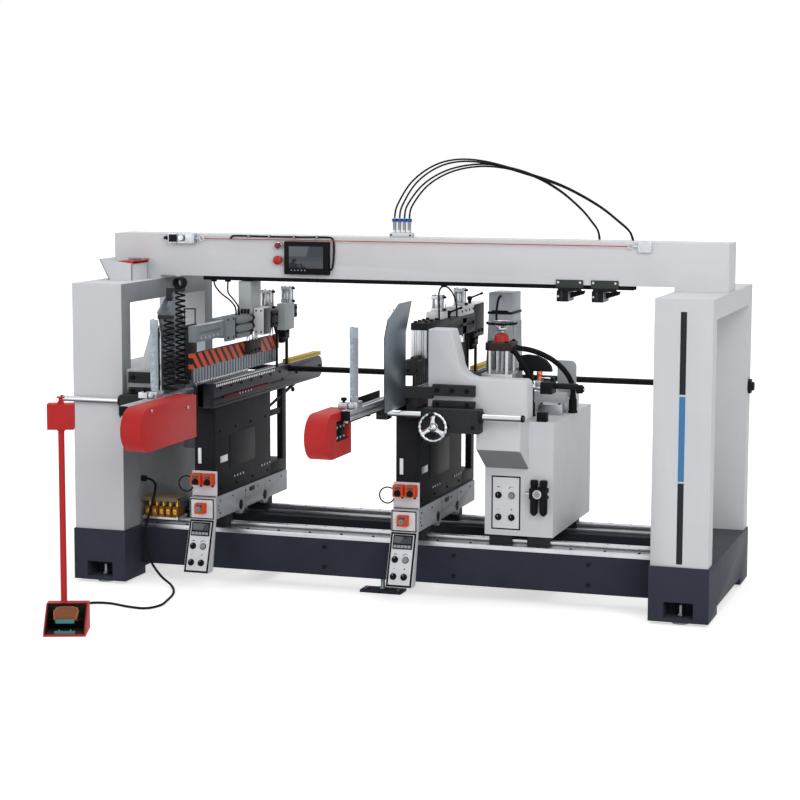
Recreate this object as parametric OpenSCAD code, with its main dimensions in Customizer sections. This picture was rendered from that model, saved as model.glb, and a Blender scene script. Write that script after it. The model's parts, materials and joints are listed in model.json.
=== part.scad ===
// Line boring machine: two columns, a beam, a bed with rails, two vertical boring
// units, one sliding horizontal unit and one fixed horizontal head on the left column.
// Machine frame: X to the right from midway between the columns, Y from the column
// fronts towards the back, Z up from the floor. Millimetres.

/* [Frame] */
// Width over the two columns
frame_w = 2880; // [2860:10:3100]
// Width of each column
column_w = 242; // [220:1:248]
// Depth of each column, front to back
column_d = 1020; // [1000:5:1080]
// Height of the column tops above the floor
column_top = 1356; // [1350:1:1420]
// Thickness of the column legs
leg_t = 91; // [80:1:110]
// Height of the lintel over each column opening
lintel_h = 88; // [60:1:110]
// Height of the dark plinths
plinth_h = 246; // [244:1:290]
// How far a plinth stands out past its column
plinth_margin = 6; // [2:1:12]
// Sill height of the left column's window
left_sill = 955; // [930:1:1000]
// Height of the levelling foot pads
foot_h = 14; // [8:1:30]

/* [Beam] */
// Height of the top beam
beam_h = 190; // [160:1:220]
// Depth of the top beam
beam_d = 178; // [140:1:220]
// How far the beam ends stop short of the column sides
beam_inset = 10; // [0:1:30]
// Thickness of the pads under the beam ends
pad_h = 17; // [10:1:30]
// Distance of the hose track's ends from the columns
track_end = 188; // [120:1:260]
// Width of the control screen
screen_w = 212; // [160:1:240]
// Height of the control screen
screen_h = 148; // [120:1:158]
// Depth of the control screen's case
screen_t = 30; // [20:1:60]

/* [Bed] */
// Height of the bed beams' undersides
bed_z = 71; // [40:1:90]
// Height of the bed beams
bed_h = 165; // [150:1:175]
// Depth of each bed beam
bed_t = 145; // [130:1:160]
// Bed front face behind the column fronts
bed_front = 164; // [150:1:180]
// Bed rear face in front of the column backs
bed_rear = 225; // [200:1:260]
// Width of the linear guide rails
rail_w = 34; // [25:1:45]
// Height of the linear guide rails
rail_h = 41; // [35:1:50]

/* [Vertical units] */
// Width of each vertical unit
unit_w = 118; // [112:1:130]
// Middle of the left vertical unit, from the left column
unit_a_in = 365; // [358:1:500]
// Middle of the right vertical unit
unit_b_x = 113; // [0:1:120]
// Front of the carriage casting
carriage_front = 61; // [50:1:70]
// Length of the carriage casting
carriage_len = 867; // [840:1:900]
// Gap under the carriage casting, over the rails
carriage_gap = 36; // [30:1:45]
// Height of the carriage casting
carriage_h = 96; // [80:1:110]
// Height of the pedestal above the carriage
pedestal_h = 404; // [360:1:440]
// Wall of the pedestal
pedestal_wall = 12; // [8:1:14]
// Height of the table bar
table_h = 108; // [90:1:120]
// Width of the table bar
table_w = 51; // [46:1:54]
// Length of the table bar
table_len = 1384; // [1250:1:1450]
// Gap between the table and the overhead arm
throat_h = 196; // [180:1:210]
// Height of the overhead arm
arm_h = 86; // [80:1:100]
// Width of the overhead arm
arm_w = 70; // [60:1:76]
// Number of vertical boring spindles
spindle_count = 17; // [9:2:17]
// Pitch of the boring spindles
spindle_pitch = 32; // [30:1:32]
// Radius of the chucks
chuck_r = 9.5; // [7:0.5:12]

/* [Side unit] */
// Left side of the cabinet
cabinet_x = 432; // [425:1:450]
// Width of the cabinet
cabinet_w = 303; // [280:1:330]
// Depth of the cabinet
cabinet_d = 701; // [660:1:720]
// Height of the cabinet's top above the floor
cabinet_top = 798; // [780:1:810]
// Front of the cabinet
cabinet_front = 187; // [180:1:200]
// Front of the white casting
casting_front = 37; // [32:1:45]
// Thickness of the white casting
casting_t = 103; // [90:1:110]
// Radius of the front handwheel
wheel_r = 64; // [50:1:70]
// Radius of the height wheel
lift_wheel_r = 66; // [50:1:75]

/* [Fences] */
// Radius of the chrome fence bars
bar_r = 13.5; // [10:0.5:15]
// Height of the fence bars' middles
bar_z = 837; // [834:1:842]
// Side of the square aluminium profile
profile = 40; // [38:1:42]
// Width of the red guards
guard_w = 93; // [70:1:110]
// Height of the red guards
guard_h = 186; // [150:1:200]
// Length of the left guard
left_guard_len = 567; // [450:1:600]
// Length of the right guard
right_guard_len = 310; // [290:1:330]
// Height of the galvanised uprights
upright_h = 332; // [300:1:400]

/* [Foot switch] */
// Width of the foot switch
pedal_w = 170; // [140:1:200]
// Depth of the foot switch
pedal_d = 170; // [140:1:200]
// Height of the foot switch hood
pedal_h = 112; // [90:1:130]
// Height of the box on the foot switch's pole
pole_h = 827; // [700:1:900]

/* [Hidden] */
$fn = 48;
// Running clearance of round fits, gap between flat faces that pass, overrun of cuts
fit = 0.05;
gap = 0.4;
over = 5;
// Gap of a fitted piece that stays a solid of its own
seat = 0.2;

// Frame places
half_w = frame_w / 2;
inner_x = half_w - column_w;
unit_a_x = unit_a_in - inner_x;
track_len = 2 * (inner_x - track_end);
bed_x = inner_x - plinth_margin;
beam_front = (column_d - beam_d) / 2;
beam_z = column_top + pad_h;
beam_top = beam_z + beam_h;
bed_top = bed_z + bed_h;
rail_top = bed_top + rail_h;
rear_bed_y = column_d - bed_rear - bed_t;
front_rail_y = bed_front + bed_t / 2;
rear_rail_y = rear_bed_y + bed_t / 2;
window_w = 125;
window_h = 70;
window_d = 120;
window_z = 28;
stud_r = 10;
stud_top = 78;
pad_r = 38;
nut_h = 12;
nut_r = 17;
notch_h = 34;
notch_end_share = 0.2;
foot_in = 60;
groove_w = 26;
groove_d = 3;
groove_end = [12, 52];
tie_w = 90;
tie_share = [-0.55, 0, 0.55];
flat_w = 36;
flat_h = 20;
rail_waist = 5;
middle_foot_x = -49;
middle_plate = [190, 90, 12];
middle_plate_y = front_rail_y - middle_plate[1] / 2;

// Beam fittings
track_w = 60;
track_h = 22;
track_wall = 4;
track_slot = 24;
screen_mid_x = -470;
bezel = 12;
bezel_cut = 3;
wire_drop = 18;
wire_r = 2;
wire_off = 16;
wire_y = beam_front - wire_off;
wire_z = beam_top - wire_drop;
screen_drop = 6;
screen_top = wire_z - screen_drop;
switch_in = 52;
switch_x = switch_in - inner_x;
switch_size = [130, 32, 46];
switch_eye = 31;
anchor_in = 158;
anchor_x = inner_x - anchor_in;
anchor_size = [60, 16, 50];
eye_r = 11;
eye_wire = 3;
button_gap = 36;
button_x = screen_mid_x - screen_w / 2 - button_gap;
button_r = 10;
button_depth = 40;
start_drop = 20;
stop_drop = 86;
start_z = screen_top - start_drop;
stop_z = screen_top - stop_drop;
collar_r = 17;
collar_h = 8;
start_cap_r = 14;
start_cap_h = 6;
start_dome_share = 0.2;
stop_cap_r = 20;
stop_cap_h = 16;
stop_dome_share = 0.4;
button_travel = 6;
manifold_size = [104, 44, 22];
manifold_x = -93;
manifold_in = 24;
manifold_y = beam_front + manifold_in;
fitting_r = 9;
fitting_h = 62;
fitting_ring = 14;
fitting_ring_r = 10.5;
fitting_count = 4;
fitting_pitch = 23;
hose_r = 4;
clamp_in = [519, 363];
clamp_x = [for (c = clamp_in) inner_x - c];
clamp_w = 121;
clamp_tab_h = 22;
clamp_tab_t = 5;
clamp_back_t = 8;
clamp_drop = 74;
clamp_block = [46, 62];
clamp_arm = [44, 110, 48];
clamp_block_d = 46;

// Hopper-shaped box on the left column
hopper_d = 165;
hopper_gap = 21;
hopper_y = beam_front - hopper_gap - hopper_d;
hopper_base_x = [64, 240];
hopper_top_x = [20, 250];
hopper_h = 88;
hopper_wall = 5;
lid_t = 8;
lid_lip = 6;
hinge_r = 4;

// Vertical unit places
carriage_z = rail_top + carriage_gap;
pedestal_z = carriage_z + carriage_h;
table_z = pedestal_z + pedestal_h;
table_top = table_z + table_h;
arm_z = table_top + throat_h;
arm_top = arm_z + arm_h;
half_unit = unit_w / 2;
lobe_r = 45;
lobe_hole_r = 17;
lobe_in = [118.5, -73.5];
lobe_y = [front_rail_y + lobe_in[0], rear_rail_y + lobe_in[1]];
lobe_lift = 22;
lobe_z = carriage_z + lobe_lift;
casting_wall = 22;
casting_roof = 26;
shoe_w = 68;
shoe_len = 100;
shoe_drop = 26;
pedestal_front = 75;
pedestal_box_d = 660;
post_d = 52;
post_front = 890;
skirt_h = 112;
link_z = 318;
link_h = 20;
guide_r = 10;
guide_in = 32;
half_pedestal = 50;
head_x = -14;
head_w = 34;
head_lift = 215;
head_z = pedestal_z + head_lift;
head_h = 150;
head_motor_r = 34;
head_motor_h = 150;
chuck_h = 62;
bit_r = 2.5;
bit_h = 60;
spindle_mid_y = pedestal_front + pedestal_box_d / 2;
table_front = 40;
bar_x = half_unit - table_w;
bar_slot = 12;
bar_slot_d = 5;
wear_size = [38, 430, 18];
wear_front = 990;
roller_r = 10;
roller_w = 8;
roller_pitch = 32;
roller_rows = 2;
strip_w = 23;
strip_front = 82;
strip_len = 640;
shaft_in_y = 48;
shaft_y = column_d - shaft_in_y;
shaft_drop = 23;
shaft_z = table_top - shaft_drop;
shaft_r = 14;
shaft_hole = 3;
hub_r = 33;
hub_t = 24;
hub_boss_r = 20;
hub_gap = 2;
shaft_in = 60;

// Console of a vertical unit
console_front = 37;
console_toe = -40;
console_foot = 85;
console_back = 15;
counter_plate_t = 8;
counter_plate_h = 118;
counter_size = [46, 38, 50];
counter_lift = 58;
counter_x_share = [-0.24, 0.24];
low_counter_size = [46, 34, 46];
low_counter_lift = 30;
knob_r = 11;
knob_len = 18;
knob_shaft_r = 4;
knob_shaft_in = 20;
knob_drop_share = 0.32;
knob_grip_count = 8;
knob_grip_r = 2;

// Overhead arm of a vertical unit
arm_front = 135;
reach_front = -170;
reach_w = 36;
reach_in = 8;
front_drop = 37;
front_d = 65;
arm_in = 60;
arm_off = half_unit - arm_in;
arm_wall = 8;
arm_slot = 14;
arm_slot_d = 7;
bracket_front = 880;
bracket_d = 90;
press_rod_r = 9;
press_y = [500, 790];
press_cyl = [48, 48, 130];
press_cap_h = 14;
arm_block = [44, 60, 70];
valve_box = [66, 120, 125];
valve_box_y = 570;
band_h = 66;
band_t = 22;
band_top_gap = 44;
band_front = 45;
long_band_front = -150;
band_rear = 862;
slat_h = 62;
slat_t = 10;
slat_gap = 7;
slat_pitch = 32;
trolley = [56, 44, 9];
trolley_stem = [40, 16];
trolley_up = 2;
unit_hose_r = 7;

// Side unit places, counted from the cabinet's left side in X
cabinet_gap = 22;
cabinet_z = rail_top + cabinet_gap;
upright_x = [-215, -80];
casting_top = 1197;
casting_arm_top = 992;
casting_arm_end = 223;
casting_bottom = 826;
casting_inside_r = 80;
casting_slope = 32;
casting_end_r = 26;
nose_x = [0, 195];
nose_z = 687;
nose_low = 590;
shoe_x_share = [0.22, 0.78];
post_x = [0, 76];
post_y = [240, 360];
post_r = 9;
flange_z = 1108;
flange_t = 20;
flange_margin = 20;
clutch_r = 32;
clutch_h = 36;
clutch_edge = 6;
saddle_x = [-28, 110];
saddle_y = [212, 388];
saddle_z = 905;
saddle_h = 90;
screw_r = 8;
rod_r = 10;
rod_y = [276, 324];
rod_z = 936;
rod_len = 262;
side_gear_w = 55;
side_gear_h = 90;
side_gear_front = 180;
side_gear_gap = 92;
side_gear_y = [side_gear_front, shaft_y - side_gear_gap];
side_end = 30;
side_count = floor((side_gear_y[1] - side_gear_y[0] - 2 * side_end) / spindle_pitch) + 1;
side_chuck_h = 46;
side_bit_h = 14;
side_head_x = -32;
motor_y = [545, 705];
motor_over = 15;
motor_foot = 128;
motor_top_share = 0.82;
motor_h = 250;
motor_cap = 90;
regulator_x = 208;
regulator_z = 470;
regulator_body = [50, 46, 46];
bowl_r = 17;
bowl_h = 62;
bowl_pitch = 52;
conduit_r = 12;

// Bracket, bar and guide plate on each side, the left ones counted from the left column's inner side
bracket_t = 25;
c_plate_x = [-187, -1];
plate_upper_z = [916, 964];
plate_lower_z = [869, 895];
bracket_block_x = [-213, 31];
bracket_block_z = [765, 866];
bracket_block_front = -38;
bar_y = -16;
guide_arm_z = [902, 951];
guide_arm_t = 22;
guide_plate_t = 4;
c_guide_y = [-247, 36];
left_guide_y = [-224, 20];
cover_len = 126;
cover_z = [948, 1178];
guide_plate_z = [866, 1180, 1316];
guide_flare = 26;
guide_top_cut = 60;
c_guide_x = -317;
left_guide_x = 295;
left_plate_x = [23, 168];
left_block_x = [2, 136];
left_casting_x = [0, 142];
left_ledge = 974;
gusset_x = 66;
gusset_top = 1170;
gusset_end = 128;
left_slide_x = [0, 94];
left_head_x = 98;

// Fence assemblies: end block, profile, upright, guard
end_block = [50, 65, 52];
rail_seat = 12;
end_block_front = -45;
c_end_x = -420;
c_bar_end = 225;
left_end_x = 294;
left_bar_start = -298;
c_rail_front = -500;
left_rail_front = -655;
rail_back = 20;
rail_slot = 9;
rail_slot_d = 11;
rail_core_r = 5;
stay_w = 20;
stay_h = 10;
c_guard_front = -684;
left_guard_front = -735;
guard_top_over = -2;
cutout = [40, 150, 80];
cutout_in = 30;
cutout_block = [32, 120, 70];
c_upright_y = -400;
left_upright_y = -352;
upright_foot = [38, 70, 26];
upright_w = 36;
upright_t = 5;
upright_knob_r = 11;
upright_knob_h = 22;
wheel_y = -48;
wheel_axis = [-165, 788];
wheel_tube_r = 6;
wheel_hub_r = 15;
wheel_hub_t = 20;
wheel_spoke_r = 5;
wheel_shaft_r = 8;
wheel_shaft_in = 40;
spoke_count = 3;
grip_r = 5;
grip_len = 36;
lift_wheel_z = 1196;
lift_tube_r = 5;
lift_hub_r = 24;
lift_dish = 14;

// Foot switch
pedal_in = 127;
pedal_x = pedal_in - inner_x;
pedal_y = -1025;
pedal_turn = 20;
pedal_wall = 5;
pedal_floor = 8;
treadle_t = 10;
treadle_z = 46;
treadle_pin_r = 5;
treadle_in = 8;
pole_r = 13;
pole_share = 0.4;
pole_box = [106, 60, 105];
pole_in = 26;
pedal_room = pedal_d - 2 * pole_in;
treadle_y = pedal_room - treadle_in - treadle_pin_r;
gland_y = 190;
gland_z = 457;
gland_r = 14;
gland_len = 22;
cord_r = 5.5;

// Valve bank on the bed's left end
valve_plate = [180, 110, 10];
valve_x = 10;
valve_count = 5;
valve_body = [24, 80, 46];
valve_pitch = 34;
valve_coil_r = 9;
valve_coil_h = 30;

// The origin is under the middle of the whole outline
centre_x = (left_bar_start - inner_x + half_w + hub_gap + hub_t) / 2;
centre_y = (pedal_y + table_front + table_len) / 2;

// Curly hoses beside the left guide plate: place, turns, radius and pitch
curl_y = [-202, -80];
curl_r = 20;
curl_gap = 6;
curl_x = left_guide_x + curl_r + curl_gap;
curl_top = [1236, 1346];
curl_pitch = 24;
curl_turns = [13, 17];
curl_tube_r = 4;
curl_lead = 10;
curl_sides = 6;
curl_rings = 8;
clip_d = 18;
clip_h = 16;
clip_post = 20;

// Routes of hoses and cords, chosen by hand
outer_hose = [[0, 0, 1646], [4, 2, 1700], [60, 8, 1800], [150, 14, 1870], [250, 20, 1898], [370, 26, 1890],
    [520, 32, 1850], [700, 36, 1790], [850, 40, 1710], [940, 42, 1640], [980, 42, 1600], [990, 42, 1563]];
inner_hose = [[0, 0, 1646], [4, 2, 1700], [70, 8, 1790], [170, 14, 1850], [290, 20, 1876], [410, 26, 1870],
    [540, 32, 1835], [660, 36, 1770], [755, 40, 1690], [805, 42, 1630], [825, 42, 1598], [830, 42, 1563]];
hose_spread = 26;
hose_lift = 10;
hose_seat = 2.0;
cord_route = [[-1175.5, 190, 457], [-1167, 190, 457], [-1144, 187, 451], [-1127, 180, 436], [-1121, 169,
    416],
    [-1122, 150, 375], [-1132, 125, 310], [-1142, 105, 240], [-1136, 90, 165], [-1100, 72, 95], [-1040,
        45, 40],
    [-970, 0, 12], [-905, -120, 7], [-868, -270, 7], [-856, -370, 7], [-890, -440, 7], [-968, -438, 7],
    [-1080, -402, 7], [-1160, -424, 7], [-1192, -500, 7], [-1184, -600, 7], [-1150, -690, 9], [-1112,
        -756, 15],
    [-1087, -806, 22], [-1073.4, -843.9, 24]];
conduit_a = [[96, 330, 1118], [128, 350, 1122], [188, 400, 1105], [258, 460, 1040], [293, 510, 950],
    [300, 540, 860], [300, 545, 798]];
conduit_b = [[96, 280, 1118], [128, 290, 1095], [158, 320, 1040], [180, 350, 960], [186, 370, 880],
    [186, 375, 798]];
unit_hose_a = [[0, -66, 0], [-10, -84, 40], [-34, -84, 90], [-40, -44, 140], [0, 0, 176]];
unit_hose_b = [[0, 62, 0], [24, 72, 50], [42, 56, 110], [36, 30, 150], [8, 12, 176]];

// Basic shapes: blocks, round rods along an axis, outlines pushed along X or Y
module block(low, size) { translate(low) cube(size); }
module rod_along_x(x, y, z, r, len) { translate([x, y, z]) rotate([0, 90, 0]) cylinder(h = len, r = r); }
module rod_along_y(x, y, z, r, len) { translate([x, y + len, z]) rotate([90, 0, 0]) cylinder(h = len,
    r = r); }
module rod_along_z(x, y, z, r, len) { translate([x, y, z]) cylinder(h = len, r = r); }
module outline_along_x(x, len) { translate([x, 0, 0]) rotate([90, 0, 90]) linear_extrude(len) children(); }
module outline_along_y(y, len) { translate([0, y + len, 0]) rotate([90, 0,
    0]) linear_extrude(len) children(); }
module in_frame() { translate([-centre_x, -centre_y, 0]) children(); }
module at_side_unit() { in_frame() translate([cabinet_x, 0, 0]) children(); }
module at_left_unit() { in_frame() translate([-inner_x, 0, 0]) children(); }
module at_left_side() { in_frame() translate([-half_w, 0, 0]) children(); }

// Tubes swept along a route
function unit(v) = v / norm(v);
function heading(p, i) = unit(p[min(i + 1, len(p) - 1)] - p[max(i - 1, 0)]);
function ring(p, i, r, sides, side) =
    let (t = heading(p, i), u = unit(cross(side, t)), v = cross(t, u))
    [for (k = [0 : sides - 1]) p[i] + r * (cos(360 * k / sides) * u + sin(360 * k / sides) * v)];
function spline(a, b, c, d, t) =
    0.5 * (2 * b + (c - a) * t + (2 * a - 5 * b + 4 * c - d) * t * t + (3 * b - a - 3 * c + d) * t * t * t);
function smooth(p, steps) = [
    for (i = [0 : len(p) - 2], k = [0 : steps - 1])
        spline(p[max(i - 1, 0)], p[i], p[i + 1], p[min(i + 2, len(p) - 1)], k / steps),
    p[len(p) - 1]];
module tube(p, r, sides, side) {
    n = len(p);
    points = [for (i = [0 : n - 1]) each ring(p, i, r, sides, side)];
    walls = [for (i = [0 : n - 2], k = [0 : sides - 1])
        let (a = i * sides + k, b = i * sides + (k + 1) % sides)
        each [[a, b + sides, b], [a, a + sides, b + sides]]];
    start = [for (k = [0 : sides - 1]) k];
    end = [for (k = [sides - 1 : -1 : 0]) (n - 1) * sides + k];
    polyhedron(points, concat(walls, [start, end]));
}

// Frame
function column_x(side) = side < 0 ? -half_w : half_w - column_w;

module plinth(side) {
    x = column_x(side) - plinth_margin;
    w = column_w + 2 * plinth_margin;
    d = column_d + 2 * plinth_margin;
    mid = x + w / 2;
    difference() {
        block([x, -plinth_margin, foot_h], [w, d, plinth_h - foot_h]);
        for (y = [-plinth_margin - over, column_d + plinth_margin - window_d])
            block([mid - window_w / 2, y, window_z], [window_w, window_d + over, window_h]);
        for (y = [foot_in, column_d - foot_in])
            rod_along_z(mid, y, foot_h - over, stud_r + fit, window_z - foot_h + 2 * over);
        block([x - over, d * notch_end_share, foot_h - over],
            [w + 2 * over, d * (1 - 2 * notch_end_share), notch_h + over]);
    }
}

module left_plinth() { color("#32343e") plinth(-1); }
module right_plinth() { color("#32343e") plinth(1); }

module column(side, sill) {
    x = column_x(side);
    difference() {
        block([x, 0, plinth_h], [column_w, column_d, column_top - plinth_h]);
        block([x - over, leg_t, sill], [column_w + 2 * over, column_d - 2 * leg_t,
            column_top - lintel_h - sill]);
        children();
    }
}

module left_column() {
    color("#c3c6cd") {
        column(-1, left_sill)
            rod_along_x(-inner_x - shaft_in, shaft_y, shaft_z, shaft_r + fit, shaft_in + over);
        rod_along_x(-inner_x, gland_y, gland_z, gland_r, gland_len);
    }
}

module right_column() {
    mid = half_w - column_w / 2;
    color("#c3c6cd") column(1, plinth_h) {
        rod_along_x(inner_x - over, shaft_y, shaft_z, shaft_r + fit, column_w + 2 * over);
        block([mid - groove_w / 2, -over, plinth_h + groove_end[0]],
            [groove_w, groove_d + over, column_top - plinth_h - groove_end[0] - groove_end[1]]);
    }
}

module foot(x, y) {
    rod_along_z(x, y, 0, pad_r, foot_h);
    rod_along_z(x, y, foot_h, stud_r, stud_top - foot_h);
    translate([x, y, window_z]) cylinder(h = nut_h, r = nut_r, $fn = 6);
}

module levelling_feet() {
    color("#8a8d92") {
        for (side = [-1, 1], y = [foot_in, column_d - foot_in]) foot(side * (half_w - column_w / 2), y);
        block([middle_foot_x - middle_plate[0] / 2, middle_plate_y, 0], middle_plate);
        rod_along_z(middle_foot_x, front_rail_y, 0, stud_r, bed_z);
    }
}

module track() {
    y = column_d / 2 - track_w / 2;
    difference() {
        block([-track_len / 2, y, beam_z - track_h], [track_len, track_w, track_h]);
        block([-track_len / 2 - over, y + track_wall, beam_z - track_h + track_wall],
            [track_len + 2 * over, track_w - 2 * track_wall, track_h - 2 * track_wall]);
        block([-track_len / 2 - over, column_d / 2 - track_slot / 2, beam_z - track_h - over],
            [track_len + 2 * over, track_slot, track_wall + 2 * over]);
    }
}

module top_beam() {
    len = frame_w - 2 * beam_inset;
    color("#d5d7db") {
        difference() {
            union() {
                block([-len / 2, beam_front, beam_z], [len, beam_d, beam_h]);
                for (side = [-1, 1])
                    block([side < 0 ? -half_w + beam_inset : inner_x, beam_front, column_top],
                        [column_w - beam_inset, beam_d, pad_h]);
            }
            for (z = [start_z, stop_z])
                rod_along_y(button_x, beam_front - over, z, button_r + fit, button_depth + over);
        }
    }
    color("#202124") track();
}

module bed_beams() {
    color("#2f313a") difference() {
        union() {
            for (y = [bed_front, rear_bed_y]) block([-bed_x, y, bed_z], [2 * bed_x, bed_t, bed_h]);
            for (s = tie_share)
                block([s * bed_x - tie_w / 2, bed_front, bed_z], [tie_w, rear_bed_y - bed_front + bed_t,
                    tie_w]);
        }
    }
}

module rail(y) {
    waist = rail_w - 2 * rail_waist;
    outline_along_x(-bed_x, 2 * bed_x) {
        translate([y - rail_w / 2, bed_top]) square([rail_w, rail_h / 3]);
        translate([y - waist / 2, bed_top]) square([waist, rail_h]);
        translate([y - rail_w / 2, bed_top + rail_h * 2 / 3]) square([rail_w, rail_h / 3]);
    }
}

module guide_rails() {
    color("#b9bcc0") {
        rail(front_rail_y);
        rail(rear_rail_y);
        block([-bed_x, bed_front, bed_top], [2 * bed_x, flat_w, flat_h]);
        block([-bed_x, rear_bed_y + bed_t - flat_w, bed_top], [2 * bed_x, flat_w, flat_h]);
    }
}

// Beam fittings
module control_screen() {
    x = screen_mid_x - screen_w / 2;
    z = screen_top - screen_h;
    color("#26282c") {
        difference() {
            block([x, beam_front - screen_t, z], [screen_w, screen_t, screen_h]);
            block([x + bezel, beam_front - screen_t - over, z + bezel],
                [screen_w - 2 * bezel, bezel_cut + over, screen_h - 2 * bezel]);
        }
        for (s = [start_z, stop_z])
            difference() {
                rod_along_y(button_x, beam_front - collar_h, s, collar_r, collar_h);
                rod_along_y(button_x, beam_front - collar_h - over, s, button_r + fit, collar_h + 2 * over);
            }
    }
}

module push_button(z, cap_r, cap_h, dome) {
    y = beam_front - collar_h - button_travel - gap;
    rod_along_y(button_x, y, z, button_r, button_depth - button_travel);
    translate([button_x, y, z]) rotate([90, 0, 0]) {
        cylinder(h = cap_h * (1 - dome), r = cap_r);
        translate([0, 0, cap_h * (1 - dome)]) cylinder(h = cap_h * dome, r1 = cap_r,
            r2 = cap_r * (1 - dome));
    }
}

module start_button() { color("#7c2430") push_button(start_z, start_cap_r, start_cap_h, start_dome_share); }
module emergency_stop() { color("#c8202a") push_button(stop_z, stop_cap_r, stop_cap_h, stop_dome_share); }

module wire_eye(x) {
    translate([x, wire_y, wire_z]) rotate([90, 0, 0]) rotate_extrude() translate([eye_r,
        0]) circle(r = eye_wire);
}

module pull_wire_switch() {
    switch_end = switch_x + switch_size[0];
    color("#9a9ca0") {
        difference() {
            block([switch_x, beam_front - switch_size[1], wire_z - switch_size[2] / 2], switch_size);
            block([switch_x + switch_size[0] / 3, beam_front - switch_size[1] - over,
                wire_z - switch_size[2]],
                [switch_size[0] / 3, switch_size[1] / 4 + over, 2 * switch_size[2]]);
        }
        block([anchor_x, beam_front - anchor_size[1], wire_z - anchor_size[2] / 2], anchor_size);
        rod_along_x(switch_end, wire_y, wire_z, eye_wire, switch_eye - eye_r);
        wire_eye(switch_end + switch_eye);
        rod_along_x(anchor_x - switch_eye + eye_r, wire_y, wire_z, eye_wire, switch_eye - eye_r);
        wire_eye(anchor_x - switch_eye);
    }
    color("#b02a2a") rod_along_x(switch_end + switch_eye + eye_r, wire_y, wire_z, wire_r,
        anchor_x - switch_end - 2 * switch_eye - 2 * eye_r);
}

function fitting_x(i) = manifold_x + manifold_size[0] / 2 + (i - (fitting_count - 1) / 2) * fitting_pitch;
function fitting_y() = manifold_y + manifold_size[1] / 2;

module air_manifold() {
    color("#5a5d63") block([manifold_x, manifold_y, beam_top], manifold_size);
    color("#2f6fd0") for (i = [0 : fitting_count - 1]) {
        rod_along_z(fitting_x(i), fitting_y(), beam_top + manifold_size[2], fitting_r,
            fitting_h - fitting_ring);
        rod_along_z(fitting_x(i), fitting_y(), beam_top + manifold_size[2] + fitting_h - fitting_ring,
            fitting_ring_r, fitting_ring);
    }
}

module top_air_hoses() {
    start_z = beam_top + manifold_size[2] + fitting_h + hose_seat;
    color("#17181a") for (i = [0 : fitting_count - 1]) {
        route = i < fitting_count / 2 ? outer_hose : inner_hose;
        lift = i % 2 == 0 ? hose_lift : 0;
        n = len(route) - 1;
        tube([for (k = [0 : n])
                let (s = k / n, q = route[k])
                [q[0] + fitting_x(i) * (1 - s) + lift * s, q[1] + fitting_y() + i * hose_spread * sqrt(s),
                    q[2] + (start_z - route[0][2]) * (1 - s) + (beam_top + hose_seat - route[n][2]) * s
                        + lift * sin(180 * s)]],
            hose_r, 8, [0, 1, 0]);
    }
}

module top_box() {
    z = column_top;
    color("#d9dadd") difference() {
        outline_along_y(hopper_y, hopper_d) polygon([[hopper_base_x[0], z], [hopper_base_x[1], z],
            [hopper_top_x[1], z + hopper_h], [hopper_top_x[0], z + hopper_h]]);
        outline_along_y(hopper_y + hopper_wall, hopper_d - 2 * hopper_wall) polygon([
            [hopper_base_x[0] + hopper_wall, z + hopper_wall], [hopper_base_x[1] - hopper_wall, z
                + hopper_wall],
            [hopper_top_x[1] - hopper_wall, z + hopper_h + over],
            [hopper_top_x[0] + hopper_wall, z + hopper_h + over]]);
    }
}

module box_lid() {
    w = hopper_top_x[1] - hopper_top_x[0];
    z = column_top + hopper_h + gap;
    color("#b03e3e") {
        block([hopper_top_x[0], hopper_y - lid_lip, z], [w, hopper_d + lid_lip + hinge_r, lid_t]);
        block([hopper_top_x[0], hopper_y - lid_lip, z - lid_t], [w, lid_lip - gap, 2 * lid_t]);
        rod_along_x(hopper_top_x[0], hopper_y + hopper_d + hinge_r, z + lid_t - hinge_r, hinge_r, w);
    }
}

module beam_brackets() {
    color("#1d1e20") for (x = clamp_x) {
        block([x, beam_front - clamp_tab_t, beam_z], [clamp_w, clamp_tab_t, clamp_tab_h]);
        block([x, beam_front - clamp_tab_t, beam_z - clamp_drop], [clamp_w, clamp_back_t + clamp_tab_t,
            clamp_drop]);
        outline_along_y(beam_front + clamp_back_t, clamp_block_d) polygon([[x, beam_z - clamp_drop],
            [x + clamp_block[0], beam_z - clamp_drop], [x + clamp_block[0], beam_z - clamp_drop
                + clamp_block[1]],
            [x + clamp_block[0] / 2, beam_z - clamp_drop + clamp_block[1] / 2],
            [x, beam_z - clamp_drop + clamp_block[1]]]);
    }
    color("#9da0a5") for (x = clamp_x)
        block([x + clamp_w - clamp_arm[0] - over, beam_front + clamp_back_t, beam_z - clamp_drop],
            [clamp_arm[0], clamp_arm[1], clamp_arm[2]]);
}

// Vertical units
module shoe(x, y, z) {
    slot = rail_w + 2 * gap;
    difference() {
        block([x - shoe_len / 2, y - shoe_w / 2, rail_top - shoe_drop], [shoe_len, shoe_w, z - rail_top
            + shoe_drop]);
        block([x - shoe_len / 2 - over, y - slot / 2, rail_top - shoe_drop - over],
            [shoe_len + 2 * over, slot, shoe_drop + over + gap]);
    }
}

module carriage(x) {
    color("#9ea2a8") {
        difference() {
            outline_along_x(x - half_unit, unit_w) difference() {
                union() {
                    translate([carriage_front, carriage_z]) square([carriage_len, carriage_h]);
                    for (y = lobe_y) translate([y, lobe_z]) circle(r = lobe_r);
                }
                for (y = lobe_y) translate([y, lobe_z]) circle(r = lobe_hole_r);
            }
            block([x - half_unit + casting_wall, carriage_front + casting_wall, carriage_z - lobe_r],
                [unit_w - 2 * casting_wall, carriage_len - 2 * casting_wall, carriage_h
                    + lobe_r - casting_roof]);
        }
        shoe(x, front_rail_y, carriage_z);
        shoe(x, rear_rail_y, carriage_z);
    }
}

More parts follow.
